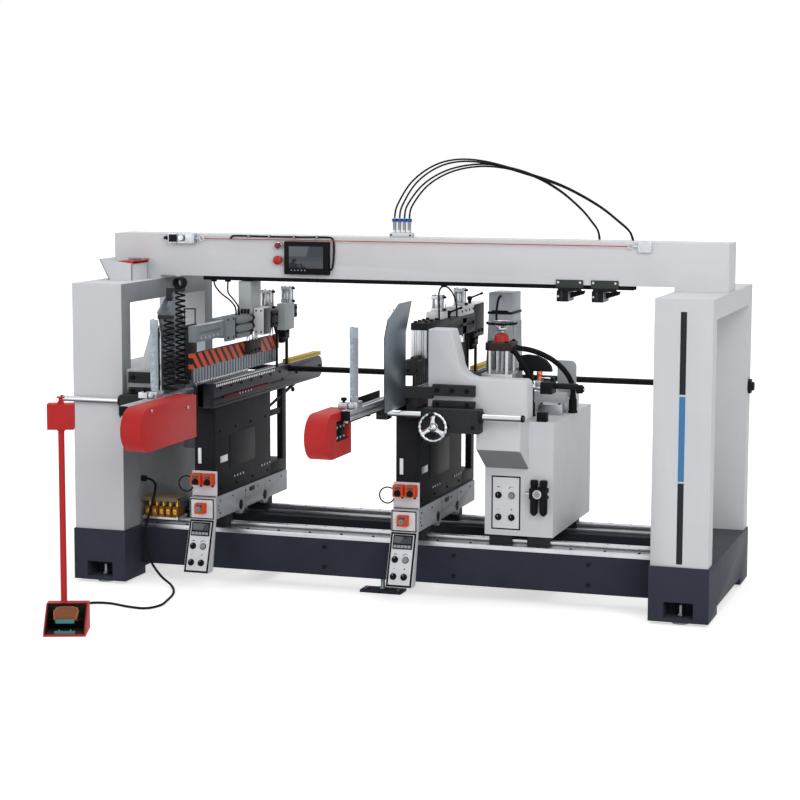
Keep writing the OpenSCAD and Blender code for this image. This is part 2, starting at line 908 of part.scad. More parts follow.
module pedestal_outline() {
    rear = post_front + post_d;
    box_rear = pedestal_front + pedestal_box_d;
    difference() {
        translate([pedestal_front, pedestal_z]) square([rear - pedestal_front, pedestal_h]);
        translate([box_rear, pedestal_z + skirt_h]) square([post_front - box_rear, link_z - skirt_h]);
        translate([box_rear, pedestal_z + link_z + link_h])
            square([post_front - box_rear, pedestal_h - link_z - link_h + over]);
    }
}

module pedestal(x) {
    inner_w = 2 * (half_pedestal - pedestal_wall);
    color("#1b1c1f") {
        difference() {
            outline_along_x(x - half_pedestal, 2 * half_pedestal) pedestal_outline();
            block([x - inner_w / 2, pedestal_front + pedestal_wall, pedestal_z + pedestal_wall],
                [inner_w, pedestal_box_d - 2 * pedestal_wall, pedestal_h]);
        }
    }
    color("#c9cbce") for (y = [pedestal_front + guide_in, pedestal_front + pedestal_box_d - guide_in])
        rod_along_z(x + head_x, y, pedestal_z + pedestal_wall, guide_r, pedestal_h - pedestal_wall);
}

module boring_head(x) {
    span = (spindle_count - 1) * spindle_pitch;
    first = spindle_mid_y - span / 2;
    gear_y = pedestal_front + pedestal_wall + gap;
    gear_d = pedestal_box_d - 2 * pedestal_wall - 2 * gap;
    color("#a9acb1") difference() {
        block([x + head_x - head_w / 2, gear_y, head_z], [head_w, gear_d, head_h]);
        for (y = [pedestal_front + guide_in, pedestal_front + pedestal_box_d - guide_in])
            rod_along_z(x + head_x, y, head_z - over, guide_r + fit, head_h + 2 * over);
    }
    color("#d0d2d5") for (i = [0 : spindle_count - 1]) {
        y = first + i * spindle_pitch;
        rod_along_z(x + head_x, y, head_z + head_h, chuck_r, chuck_h);
        rod_along_z(x + head_x, y, head_z + head_h + chuck_h, bit_r, bit_h);
    }
    color("#4a4d52") rod_along_z(x, spindle_mid_y, head_z - head_motor_h, head_motor_r, head_motor_h);
}

module console_outline() {
    polygon([[carriage_front, pedestal_z], [console_front, pedestal_z], [console_front, carriage_z],
        [console_toe, console_foot], [console_back, console_foot], [carriage_front, carriage_z]]);
}

function knob_z() = pedestal_z + counter_lift + counter_size[2] * knob_drop_share;
function low_knob_z() = carriage_z + low_counter_lift + low_counter_size[2] / 2;
function counter_y() = pedestal_front - counter_plate_t - counter_size[1];

module console(x) {
    color("#c6c8cc") {
        outline_along_x(x - half_unit, unit_w) console_outline();
        block([x - half_unit, pedestal_front - counter_plate_t, pedestal_z],
            [unit_w, counter_plate_t, counter_plate_h]);
    }
    color("#d74623") {
        for (s = counter_x_share) difference() {
            block([x + s * unit_w - counter_size[0] / 2, counter_y(), pedestal_z + counter_lift],
                counter_size);
            rod_along_y(x + s * unit_w, counter_y() - over, knob_z(), knob_shaft_r + fit, knob_shaft_in
                + over);
        }
        difference() {
            block([x - low_counter_size[0] / 2, console_front - low_counter_size[1],
                carriage_z + low_counter_lift], low_counter_size);
            rod_along_y(x, console_front - low_counter_size[1] - over, low_knob_z(),
                knob_shaft_r + fit, knob_shaft_in + over);
        }
    }
}

module counter_knob(x, face_y, z) {
    difference() {
        rod_along_y(x, face_y - gap - knob_len, z, knob_r, knob_len);
        for (i = [0 : knob_grip_count - 1])
            translate([x, 0, z]) rotate([0, i * 360 / knob_grip_count, 0])
                rod_along_y(knob_r, face_y - gap - knob_len - over, 0, knob_grip_r, knob_len);
    }
    rod_along_y(x, face_y - gap, z, knob_shaft_r, knob_shaft_in);
}

module upper_knob(x, s) { color("#1c1c1e") counter_knob(x + counter_x_share[s] * unit_w, counter_y(),
    knob_z()); }
module lower_knob(x) { color("#a8aaae") counter_knob(x, console_front - low_counter_size[1],
    low_knob_z()); }

module table(x) {
    rear = table_front + table_len;
    nose = table_h / 2;
    color("#2b2d34") {
        difference() {
            outline_along_x(x + bar_x, table_w) {
                translate([table_front, table_z]) square([table_len - nose, table_h]);
                translate([rear - nose, table_z + nose]) circle(r = nose);
            }
            block([x + bar_x + table_w - bar_slot_d, table_front - over, table_z + table_h / 3],
                [bar_slot_d + over, post_front - table_front, bar_slot]);
            rod_along_x(x + bar_x - over, shaft_y, shaft_z, shaft_r + shaft_hole, table_w + 2 * over);
        }
        difference() {
            block([x - half_unit, strip_front, table_z], [strip_w, strip_len, table_h - roller_r]);
            block([x - half_unit + (strip_w - roller_rows * roller_w) / 2, strip_front - over,
                table_top - 2 * roller_r],
                [roller_rows * roller_w, strip_len + 2 * over, 2 * roller_r]);
        }
    }
    color("#cfd1d4") for (row = [0 : roller_rows - 1], i = [0 : floor(strip_len / roller_pitch) - 2])
        rod_along_x(x - half_unit + (strip_w - roller_rows * roller_w) / 2 + row * roller_w,
            strip_front + roller_pitch * (i + 1 - row / roller_rows), table_top - roller_r, roller_r,
                roller_w);
    color("#c9a43a") block([x + bar_x + (table_w - wear_size[0]) / 2, wear_front, table_top], wear_size);
}

module overhead_arm(x, boxed) {
    ax = x + arm_off;
    color("#8f9398") difference() {
        block([ax, arm_front, arm_z], [arm_w, bracket_front - arm_front, arm_h]);
        block([ax + arm_w - arm_slot_d, arm_front - over, arm_z + (arm_h - arm_slot) / 2],
            [arm_slot_d + over, bracket_front - arm_front - arm_wall, arm_slot]);
        for (y = press_y) rod_along_z(ax + arm_w / 2, y, arm_z - over, press_rod_r + fit, arm_h + 2 * over);
    }
    color("#1b1c1f") outline_along_x(x + bar_x, table_w) polygon([[bracket_front, table_top],
        [bracket_front + bracket_d, table_top], [bracket_front + bracket_d, arm_top],
        [bracket_front, arm_top], [bracket_front, arm_z], [bracket_front + bracket_d / 3,
            arm_z - throat_h / 4],
        [bracket_front + bracket_d / 3, table_top + throat_h / 4]]);
    color("#c4c7cb") for (y = press_y) difference() {
        union() {
            block([ax + (arm_w - press_cyl[0]) / 2, y - press_cyl[1] / 2, arm_top], press_cyl);
            block([ax + arm_w / 2 - press_cyl[0] / 2, y - press_cyl[1] / 2 - press_cap_h, arm_top],
                [press_cyl[0], press_cyl[1] + 2 * press_cap_h, press_cap_h]);
        }
        rod_along_z(ax + arm_w / 2, y, arm_top - over, press_rod_r + fit, press_cyl[2] - press_cap_h
            + over);
    }
    color("#d9dadc") block([ax + arm_w, press_y[1] - arm_block[1] - press_cyl[1],
        arm_top - arm_block[2] - press_cap_h],
        arm_block);
    unit_hoses(ax + arm_w / 2);
    if (boxed) {
        color("#a9adb2") block([ax + (arm_w - valve_box[0]) / 2, valve_box_y, arm_top], valve_box);
        color("#8f9398") arm_reach(ax);
    }
    else color("#c4c7cb") block([ax, arm_front, arm_z - front_drop], [arm_w, front_d, front_drop + arm_h]);
}

// Slotted plate that carries the arm's front further forward
module arm_reach(ax) {
    difference() {
        block([ax + arm_w - reach_w, reach_front, arm_z + reach_in],
            [reach_w, arm_front - reach_front + over, arm_h - 2 * reach_in]);
        block([ax + arm_w - arm_slot_d, reach_front + reach_w, arm_z + (arm_h - arm_slot) / 2],
            [arm_slot_d + over, arm_front - reach_front - 2 * reach_w, arm_slot]);
    }
}

// Two hoses from the arm to a trolley that hangs in the hose track
module unit_hoses(x) {
    y = column_d / 2;
    low = beam_z - track_h;
    top = low + track_wall + trolley_up;
    color("#17181a") {
        block([x - trolley[0] / 2, y - trolley[1] / 2, top], trolley);
        block([x - trolley_stem[0] / 2, y - trolley_stem[1] / 2, low - trolley[2]],
            [trolley_stem[0], trolley_stem[1], top - low + trolley[2]]);
        for (route = [unit_hose_a, unit_hose_b]) {
            last = route[len(route) - 1];
            rise = low - trolley[2] - arm_top;
            tube(smooth([for (q = route) [x + q[0], y + q[1], arm_top + q[2] * rise / last[2]]], 2),
                unit_hose_r, 8, [1, 0, 0]);
        }
    }
}

module press_beam(x, front) {
    mid = x + arm_off + arm_w / 2;
    top = arm_z - band_top_gap;
    low = top - band_h;
    len = band_rear - front;
    count = floor(len / slat_pitch);
    first = front + (len - count * slat_pitch + slat_gap) / 2;
    color("#d96a26") block([mid - band_t / 2, front, low], [band_t, len, band_h]);
    color("#7d8187") for (i = [0 : count - 1])
        block([mid - slat_t / 2, first + i * slat_pitch, low - slat_h], [slat_t, slat_pitch - slat_gap,
            slat_h]);
    color("#d0d2d5") for (y = press_y)
        rod_along_z(mid, y, top, press_rod_r, arm_top - top + press_cyl[2] / 2);
}

// Side unit
module casting_outline() {
    inside = upright_x[1] + casting_inside_r;
    difference() {
        union() {
            translate([upright_x[0], casting_bottom])
                square([upright_x[1] - upright_x[0], casting_top - casting_bottom]);
            translate([upright_x[0], casting_bottom])
                square([casting_arm_end - upright_x[0] - casting_end_r, casting_arm_top - casting_bottom]);
            translate([upright_x[0], casting_bottom])
                square([casting_arm_end - upright_x[0], casting_arm_top - casting_bottom - casting_end_r]);
            translate([casting_arm_end - casting_end_r, casting_arm_top - casting_end_r])
                circle(r = casting_end_r);
            translate([upright_x[1], casting_arm_top]) square(casting_inside_r);
        }
        translate([inside, casting_arm_top + casting_inside_r]) circle(r = casting_inside_r);
        polygon([[upright_x[1], casting_arm_top + casting_inside_r], [inside, casting_top + over],
            [upright_x[1] - casting_slope, casting_top + over], [upright_x[1] - casting_slope,
                casting_top]]);
    }
}

module c_casting() {
    color("#d9dbdf") {
        outline_along_y(casting_front, casting_t) casting_outline();
        outline_along_x(nose_x[0], nose_x[1] - nose_x[0]) polygon([[casting_front, casting_bottom],
            [casting_front, nose_z], [cabinet_front, nose_low], [cabinet_front, casting_bottom]]);
    }
}

module c_cabinet() {
    screw = [(post_x[0] + post_x[1]) / 2, (post_y[0] + post_y[1]) / 2];
    color("#c9cbcf") block([0, cabinet_front, cabinet_z],
        [cabinet_w, cabinet_d, cabinet_top - cabinet_z]);
    color("#3a3c42") for (s = shoe_x_share, y = [front_rail_y, rear_rail_y])
        shoe(s * cabinet_w, y, cabinet_z);
    color("#c4c7cb") for (x = post_x, y = post_y)
        rod_along_z(x, y, cabinet_top, post_r, flange_z - cabinet_top);
    color("#2a2b2e") difference() {
        block([post_x[0] - flange_margin, post_y[0] - flange_margin, flange_z],
            [post_x[1] - post_x[0] + 2 * flange_margin, post_y[1] - post_y[0] + 2 * flange_margin,
                flange_t]);
        rod_along_z(screw[0], screw[1], flange_z - over, screw_r + fit, flange_t + 2 * over);
    }
    color("#c2362e") difference() {
        union() {
            rod_along_z(screw[0], screw[1], flange_z + flange_t, clutch_r, clutch_h - clutch_edge);
            translate([screw[0], screw[1], flange_z + flange_t + clutch_h - clutch_edge])
                cylinder(h = clutch_edge, r1 = clutch_r, r2 = clutch_r - clutch_edge);
        }
        rod_along_z(screw[0], screw[1], flange_z + flange_t - over, screw_r + fit, clutch_h + 2 * over);
    }
    color("#17181a") {
        tube(smooth(conduit_a, 2), conduit_r, 8, [0.3, 1, 0]);
        tube(smooth(conduit_b, 2), conduit_r, 8, [0.3, 1, 0]);
        block([regulator_x, cabinet_front - regulator_body[1], regulator_z],
            [regulator_body[0] + bowl_pitch / 2, regulator_body[1], regulator_body[2]]);
        for (i = [0, 1]) rod_along_z(regulator_x + bowl_r + i * (regulator_body[0]
            + bowl_pitch / 2 - 2 * bowl_r),
            cabinet_front - regulator_body[1] / 2, regulator_z - bowl_h, bowl_r, bowl_h);
    }
}

module c_saddle() {
    size = [saddle_x[1] - saddle_x[0], saddle_y[1] - saddle_y[0], saddle_h];
    screw = [(post_x[0] + post_x[1]) / 2, (post_y[0] + post_y[1]) / 2];
    color("#b4b7bc") difference() {
        block([saddle_x[0], saddle_y[0], saddle_z], size);
        for (x = post_x, y = post_y) rod_along_z(x, y, saddle_z - over, post_r + fit, saddle_h + 2 * over);
        rod_along_z(screw[0], screw[1], saddle_z - over, screw_r + fit, saddle_h + 2 * over);
        for (y = rod_y) rod_along_x(saddle_x[0] - over, y, rod_z, rod_r + fit, size[0] + 2 * over);
    }
}

// A horizontal boring head: its back face is at x, dir is where the bits point, up is where its motor stands
module side_head(x, dir, rod_len, up) {
    mid = (side_gear_y[0] + side_gear_y[1]) / 2;
    first = mid - (side_count - 1) * spindle_pitch / 2;
    front = x + dir * side_gear_w;
    nose = front + dir * seat;
    tip = nose + dir * side_chuck_h;
    back = x - dir * seat;
    z = rod_z - side_gear_h / 2;
    color("#35373c") block([min(x, front), side_gear_y[0], z],
        [side_gear_w, side_gear_y[1] - side_gear_y[0], side_gear_h]);
    color("#cfd1d4") for (i = [0 : side_count - 1]) {
        y = first + i * spindle_pitch;
        rod_along_x(min(nose, tip), y, rod_z, chuck_r, side_chuck_h);
        rod_along_x(min(tip, tip + dir * side_bit_h), y, rod_z, bit_r, side_bit_h);
    }
    color("#e2e4e6") for (y = rod_y) rod_along_x(min(back, back - dir * rod_len), y, rod_z, rod_r, rod_len);
    color("#a9adb2") side_motor(front, dir, up, up > 0 ? z + side_gear_h + seat : z - seat);
}

module side_motor(front, dir, up, z) {
    w = motor_foot;
    low = min(front, front - dir * w) + dir * motor_over;
    inset = w * (1 - motor_top_share) / 2;
    outline_along_y(motor_y[0], motor_y[1] - motor_y[0]) polygon([[low, z], [low + w, z],
        [low + w - inset, z + up * motor_h], [low + w - inset, z + up * (motor_h + motor_cap)],
        [low + inset, z + up * (motor_h + motor_cap)], [low + inset, z + up * motor_h]]);
}

module c_head() { side_head(side_head_x, -1, rod_len, 1); }

module left_head() { side_head(left_head_x, 1, left_slide_x[1] - left_slide_x[0] - gap, -1); }

module left_slide_block() {
    size = [left_slide_x[1] - left_slide_x[0], saddle_y[1] - saddle_y[0], saddle_h];
    color("#8b8e94") difference() {
        block([left_slide_x[0], saddle_y[0], saddle_z], size);
        for (y = rod_y) rod_along_x(left_slide_x[0] - over, y, rod_z, rod_r + fit, size[0] + 2 * over);
    }
}

module left_casting() {
    color("#d9dbdf") outline_along_y(casting_front, casting_t) polygon([
        [left_casting_x[0], casting_bottom], [left_casting_x[1], casting_bottom], [left_casting_x[1],
            gusset_top],
        [gusset_end, gusset_top], [gusset_x, left_ledge], [left_casting_x[0], left_ledge]]);
}

// Bracket plates, bar block, arm and bent guide plate in front of a casting
module bracket(plate_x, block_x, arm_x, wheel) {
    back = casting_front;
    front = back - bracket_t;
    for (z = [plate_upper_z, plate_lower_z])
        block([plate_x[0], front, z[0]], [plate_x[1] - plate_x[0], bracket_t, z[1] - z[0]]);
    difference() {
        block([block_x[0], bracket_block_front, bracket_block_z[0]],
            [block_x[1] - block_x[0], back - bracket_block_front, bracket_block_z[1] - bracket_block_z[0]]);
        rod_along_x(block_x[0] - over, bar_y, bar_z, bar_r + fit, block_x[1] - block_x[0] + 2 * over);
        if (wheel) rod_along_y(wheel_axis[0], bracket_block_front - over, wheel_axis[1],
            wheel_shaft_r + fit, wheel_shaft_in + over);
    }
    block([arm_x[0], front, guide_arm_z[0]], [arm_x[1] - arm_x[0], guide_arm_t,
        guide_arm_z[1] - guide_arm_z[0]]);
}

// The plate's lower part stands upright at x, its top leans by flare
module guide_plate(x, y, flare) {
    z = guide_plate_z;
    t = guide_plate_t;
    difference() {
        outline_along_y(y[0], y[1] - y[0]) polygon([[x, z[0]], [x + t, z[0]], [x + t, z[1]],
            [x + t + flare, z[2]], [x + flare, z[2]], [x, z[1]]]);
        outline_along_x(x - abs(flare) - over, 2 * abs(flare) + t + 2 * over) polygon([
            [y[0] - over, z[2] - guide_top_cut], [y[0] + guide_top_cut * 2, z[2] + over],
            [y[0] - over, z[2] + over]]);
    }
}

module c_bracket() {
    color("#2f3130") {
        bracket(c_plate_x, bracket_block_x, [c_guide_x + guide_plate_t, c_plate_x[0]], true);
        guide_plate(c_guide_x, c_guide_y, guide_flare);
    }
}

module left_bracket() {
    x = left_guide_x - guide_plate_t;
    color("#2f3130") {
        bracket(left_plate_x, left_block_x, [left_plate_x[1], x], false);
        guide_plate(x, left_guide_y, -guide_flare);
        block([x, left_guide_y[1] - over, cover_z[0]], [guide_plate_t, cover_len + over,
            cover_z[1] - cover_z[0]]);
        hose_clips();
    }
}

// Fence: bar, end block, slotted profile and stay
module slotted_profile(x, front) {
    mid = profile / 2;
    translate([x, rail_back, fence_z()]) rotate([90, 0, 0]) linear_extrude(rail_back - front) difference() {
        square(profile);
        for (a = [0 : 90 : 270]) translate([mid, mid]) rotate(a)
            translate([-rail_slot / 2, mid - rail_slot_d]) square([rail_slot, rail_slot_d + over]);
        translate([mid, mid]) circle(r = rail_core_r);
    }
}

function fence_z() = bar_z + bar_r + rail_seat;

module fence(end_x, bar_from, bar_to, rail_front) {
    z = fence_z();
    color("#dfe1e4") rod_along_x(bar_from, bar_y, bar_z, bar_r, bar_to - bar_from);
    color("#242527") {
        block([end_x, end_block_front, z - end_block[2]], end_block);
        block([end_x + (end_block[0] - stay_w) / 2, rail_front, z - stay_h],
            [stay_w, end_block_front - rail_front, stay_h]);
    }
    color("#b7babf") slotted_profile(end_x + (end_block[0] - profile) / 2, rail_front);
}

module c_fence() { fence(c_end_x, c_end_x + end_block[0], c_bar_end, c_rail_front); }
module left_fence() { fence(left_end_x, left_bar_start, left_end_x, left_rail_front); }

module guard_outline(front, len) {
    r = guard_h / 2;
    z = fence_z() + profile + guard_top_over - guard_h;
    translate([front + r, z + r]) circle(r = r);
    translate([front + r, z]) square([len - r, guard_h]);
}

module left_guard() {
    color("#b03e3e") outline_along_x(left_end_x + (end_block[0] + profile) / 2, guard_w)
        guard_outline(left_guard_front, left_guard_len);
}

module c_guard() {
    x = c_end_x + (end_block[0] - profile) / 2 - guard_w;
    rear = c_guard_front + right_guard_len;
    z = fence_z() - cutout[2];
    color("#b03e3e") difference() {
        outline_along_x(x, guard_w) guard_outline(c_guard_front, right_guard_len);
        block([x + guard_w - cutout[0], rear - cutout_in - cutout[1], z], [cutout[0] + over, cutout[1],
            cutout[2]]);
    }
    color("#242527") block([x + guard_w - cutout[0], rear - cutout_in - cutout[1], z], cutout_block);
}

module fence_upright(end_x, y) {
    mid = end_x + end_block[0] / 2;
    z = fence_z() + profile + gap;
    color("#a9adb2") {
        block([mid - upright_w / 2, y, z + upright_foot[2]], [upright_w, upright_t,
            upright_h - upright_foot[2]]);
        block([mid - upright_w / 2, y, z + upright_foot[2]], [upright_t, upright_w,
            upright_h - upright_foot[2]]);
    }
    color("#222325") {
        block([mid - upright_foot[0] / 2, y - upright_foot[1] / 4, z], upright_foot);
        rod_along_y(mid, y - upright_foot[1] / 4 - upright_knob_h, z + upright_foot[2] / 2,
            upright_knob_r, upright_knob_h);
    }
}

module c_upright() { fence_upright(c_end_x, c_upright_y); }
module left_upright() { fence_upright(left_end_x, left_upright_y); }

// Wheels
module wheel_rim(r, tube_r) { rotate_extrude() translate([r - tube_r, 0]) circle(r = tube_r); }

module c_handwheel() {
    shaft_len = bracket_block_front - wheel_y + wheel_shaft_in - over;
    color("#d8dadd") translate([wheel_axis[0], wheel_y, wheel_axis[1]]) rotate([90, 0, 0]) {
        wheel_rim(wheel_r, wheel_tube_r);
        translate([0, 0, -wheel_hub_t / 2 + over]) cylinder(h = wheel_hub_t, r = wheel_hub_r);
        for (i = [0 : spoke_count - 1]) rotate(i * 360 / spoke_count)
            rod_along_x(0, 0, 0, wheel_spoke_r, wheel_r - wheel_tube_r);
        translate([0, 0, -shaft_len]) cylinder(h = shaft_len, r = wheel_shaft_r);
    }
    color("#1c1c1e") translate([wheel_axis[0], wheel_y, wheel_axis[1]]) rotate([90, 0, 0])
        translate([0, wheel_r - wheel_tube_r, 0]) cylinder(h = grip_len, r = grip_r);
}

module c_height_wheel() {
    screw = [(post_x[0] + post_x[1]) / 2, (post_y[0] + post_y[1]) / 2];
    translate([screw[0], screw[1], lift_wheel_z]) {
        color("#1c1c1e") wheel_rim(lift_wheel_r, lift_tube_r);
        color("#d8dadd") {
            translate([0, 0, -lift_dish]) cylinder(h = lift_dish, r1 = lift_hub_r, r2 = lift_hub_r / 2);
            for (i = [0 : spoke_count - 1]) rotate(i * 360 / spoke_count)
                rod_along_x(0, 0, -lift_tube_r, lift_tube_r, lift_wheel_r - lift_tube_r);
            translate([0, 0, cabinet_top + over - lift_wheel_z])
                cylinder(h = lift_wheel_z - cabinet_top - over, r = screw_r);
        }
    }
}

module drive_shaft() {
    color("#1e1f21") {
        rod_along_x(-inner_x - shaft_in + over, shaft_y, shaft_z, shaft_r,
            inner_x + shaft_in - over + half_w + hub_gap + hub_t);
        rod_along_x(half_w + hub_gap, shaft_y, shaft_z, hub_r, hub_t / 2);
        rod_along_x(half_w + hub_gap, shaft_y, shaft_z, hub_boss_r, hub_t);
    }
}

// Foot switch
module at_pedal() { translate([pedal_x, pedal_y, 0]) rotate(pedal_turn) children(); }

module pedal_base() {
    pole_x = pedal_w * pole_share;
    pole_y = pedal_d - pole_in;
    color("#b03e3e") at_pedal() {
        difference() {
            cube([pedal_w, pedal_d, pedal_h]);
            block([pedal_wall, -over, pedal_floor],
                [pedal_w - 2 * pedal_wall, pedal_room + over, pedal_h - pedal_floor - pedal_wall]);
            rod_along_x(-over, treadle_y, treadle_z, treadle_pin_r + fit, pedal_w + 2 * over);
        }
        rod_along_z(pole_x, pole_y, pedal_h, pole_r, pole_h - pedal_h);
        block([pole_x - pole_box[0] / 2, pole_y - pole_box[1] / 2, pole_h], pole_box);
    }
}

module pedal_treadle() {
    color("#8a5a3c") at_pedal() {
        block([pedal_wall + treadle_in, treadle_in, treadle_z - treadle_t / 2],
            [pedal_w - 2 * pedal_wall - 2 * treadle_in, treadle_y - treadle_in, treadle_t]);
        rod_along_x(0, treadle_y, treadle_z, treadle_pin_r, pedal_w);
    }
}

module pedal_cord() {
    color("#17181a") tube(smooth(cord_route, 3), cord_r, 10, [0, 0.2, 1]);
}

// Curly hoses beside the left guide plate
function curl_end(c, i, lead) = [curl_x + curl_r, curl_y[c] + lead,
    curl_top[c] - curl_pitch * i / curl_rings];
function curl_points(c) = concat(
    [curl_end(c, 0, -curl_lead)],
    [for (i = [0 : curl_turns[c] * curl_rings])
        let (a = 360 * i / curl_rings)
        [curl_x + curl_r * cos(a), curl_y[c] + curl_r * sin(a), curl_top[c] - curl_pitch * i / curl_rings]],
    [curl_end(c, curl_turns[c] * curl_rings, curl_lead)]);
function self_gap(p, r, apart) =
    min([for (i = [0 : len(p) - 1 - apart], j = [i + apart : min(i + 2 * apart, len(p) - 1)])
    norm(p[i] - p[j])]) - 2 * r;

module coil_hoses() {
    echo("least gap of a curly hose to itself", self_gap(curl_points(0), curl_tube_r, curl_rings / 2));
    color("#1a1b1d") for (c = [0 : len(curl_y) - 1]) tube(curl_points(c), curl_tube_r, curl_sides, [0, 0,
        1]);
}

// Clips on the guide plate that hold both ends of each curly hose; above the plate, a clip stands on a post
function plate_lean(z) = guide_flare * max(0, (min(z, guide_plate_z[2]) - guide_plate_z[1])
    / (guide_plate_z[2] - guide_plate_z[1]));
module hose_clip(y, z) {
    start = left_guide_x - plate_lean(z + clip_h / 2) - guide_plate_t / 2;
    block([start, y, z - clip_h / 2], [curl_x + curl_r + clip_h / 2 - start, clip_d, clip_h]);
    if (z > guide_plate_z[2] - clip_h)
        block([start, y, guide_plate_z[2] - clip_post], [left_guide_x - start, clip_d,
            z - guide_plate_z[2] + clip_post]);
}
module hose_clips() {
    for (c = [0 : len(curl_y) - 1]) {
        hose_clip(curl_y[c] - curl_lead - gap - clip_d, curl_top[c]);
        hose_clip(curl_y[c] + curl_lead + gap, curl_top[c] - curl_pitch * curl_turns[c]);
    }
}

module valve_bank() {
    color("#8b6b3e") block([valve_x, bed_front, rail_top], valve_plate);
    color("#d8b13c") for (i = [0 : valve_count - 1]) {
        x = valve_x + valve_body[0] / 2 + i * valve_pitch;
        block([x, bed_front + valve_body[0] / 2, rail_top + valve_plate[2]], valve_body);
        rod_along_z(x + valve_body[0] / 2, bed_front + valve_body[1] / 2,
            rail_top + valve_plate[2] + valve_body[2], valve_coil_r, valve_coil_h);
    }
}

in_frame() left_plinth();
in_frame() right_plinth();
in_frame() left_column();
in_frame() right_column();
in_frame() levelling_feet();
in_frame() top_beam();
in_frame() bed_beams();
in_frame() guide_rails();
in_frame() control_screen();
in_frame() start_button();
in_frame() emergency_stop();
in_frame() pull_wire_switch();
in_frame() air_manifold();
in_frame() top_air_hoses();
at_left_side() top_box();
at_left_side() box_lid();
in_frame() beam_brackets();
at_left_unit() left_casting();
at_left_unit() left_bracket();
at_left_unit() left_slide_block();
at_left_unit() left_head();
at_left_unit() left_fence();
at_left_unit() left_guard();
at_left_unit() left_upright();
at_left_unit() coil_hoses();
at_left_unit() valve_bank();
in_frame() drive_shaft();
in_frame() pedal_base();
in_frame() pedal_treadle();
in_frame() pedal_cord();
in_frame() carriage(unit_a_x);  // a_carriage
in_frame() pedestal(unit_a_x);  // a_pedestal
in_frame() console(unit_a_x);  // a_console
in_frame() table(unit_a_x);  // a_table
in_frame() overhead_arm(unit_a_x, true);  // a_overhead_arm
in_frame() boring_head(unit_a_x);  // a_boring_head
in_frame() press_beam(unit_a_x, long_band_front);  // a_press_beam
in_frame() upper_knob(unit_a_x, 0);  // a_left_knob
in_frame() upper_knob(unit_a_x, 1);  // a_right_knob
in_frame() lower_knob(unit_a_x);  // a_lower_knob
in_frame() carriage(unit_b_x);  // b_carriage
in_frame() pedestal(unit_b_x);  // b_pedestal
in_frame() console(unit_b_x);  // b_console
in_frame() table(unit_b_x);  // b_table
in_frame() overhead_arm(unit_b_x, false);  // b_overhead_arm
in_frame() boring_head(unit_b_x);  // b_boring_head
in_frame() press_beam(unit_b_x, band_front);  // b_press_beam
in_frame() upper_knob(unit_b_x, 0);  // b_left_knob
in_frame() upper_knob(unit_b_x, 1);  // b_right_knob
in_frame() lower_knob(unit_b_x);  // b_lower_knob
at_side_unit() c_cabinet();
at_side_unit() c_casting();
at_side_unit() c_bracket();
at_side_unit() c_fence();
at_side_unit() c_guard();
at_side_unit() c_upright();
at_side_unit() c_saddle();
at_side_unit() c_head();
at_side_unit() c_height_wheel();
at_side_unit() c_handwheel();
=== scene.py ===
"""Looks of a line boring machine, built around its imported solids.

Lengths are millimetres in the machine's own frame: X to the right from midway between the
columns, Y from the column fronts towards the back, Z up from the floor. Piece.done() turns
them into metres of the shared frame.
"""
import json
import math

import bmesh
import bpy
from mathutils import Matrix, Vector


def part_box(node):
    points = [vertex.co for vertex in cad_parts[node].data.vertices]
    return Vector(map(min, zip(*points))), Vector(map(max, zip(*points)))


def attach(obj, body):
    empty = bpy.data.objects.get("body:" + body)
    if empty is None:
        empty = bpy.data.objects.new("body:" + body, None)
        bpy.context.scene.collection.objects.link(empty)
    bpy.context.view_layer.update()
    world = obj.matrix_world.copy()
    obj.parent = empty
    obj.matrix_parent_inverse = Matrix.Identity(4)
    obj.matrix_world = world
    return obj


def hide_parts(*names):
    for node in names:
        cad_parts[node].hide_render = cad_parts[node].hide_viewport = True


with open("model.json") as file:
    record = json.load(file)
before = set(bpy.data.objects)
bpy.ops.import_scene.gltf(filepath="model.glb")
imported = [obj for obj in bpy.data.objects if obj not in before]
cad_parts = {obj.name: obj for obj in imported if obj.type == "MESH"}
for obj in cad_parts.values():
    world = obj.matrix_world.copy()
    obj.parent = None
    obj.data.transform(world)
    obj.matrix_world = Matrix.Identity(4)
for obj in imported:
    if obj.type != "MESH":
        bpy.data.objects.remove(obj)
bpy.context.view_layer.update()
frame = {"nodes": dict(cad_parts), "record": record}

MM = 0.001
LEFT_COLUMN, RIGHT_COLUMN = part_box("left_column"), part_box("right_column")
ORIGIN = Vector(((LEFT_COLUMN[0].x + RIGHT_COLUMN[1].x) / 2, RIGHT_COLUMN[0].y, 0))
X, Y, Z = Vector((1, 0, 0)), Vector((0, 1, 0)), Vector((0, 0, 1))


def span(node):
    """Lowest and highest corner of a solid, in millimetres of the machine's frame."""
    low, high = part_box(node)
    return (low - ORIGIN) / MM, (high - ORIGIN) / MM


def middle_of(node):
    low, high = span(node)
    return (low + high) / 2


def metres(point):
    """A place in millimetres as a point of the shared frame."""
    return Vector(point) * MM + ORIGIN


# Camera at the photograph's viewing angle, worked out from the straight edges of the frame
CAMERA_PLACE = (2869.8, -8444.8, 1991.1)
CAMERA_YAW, CAMERA_PITCH, CAMERA_ROLL = 0.3164, 0.123, 0.0031
CAMERA_LENS, CAMERA_SENSOR = 94.38, 36.0


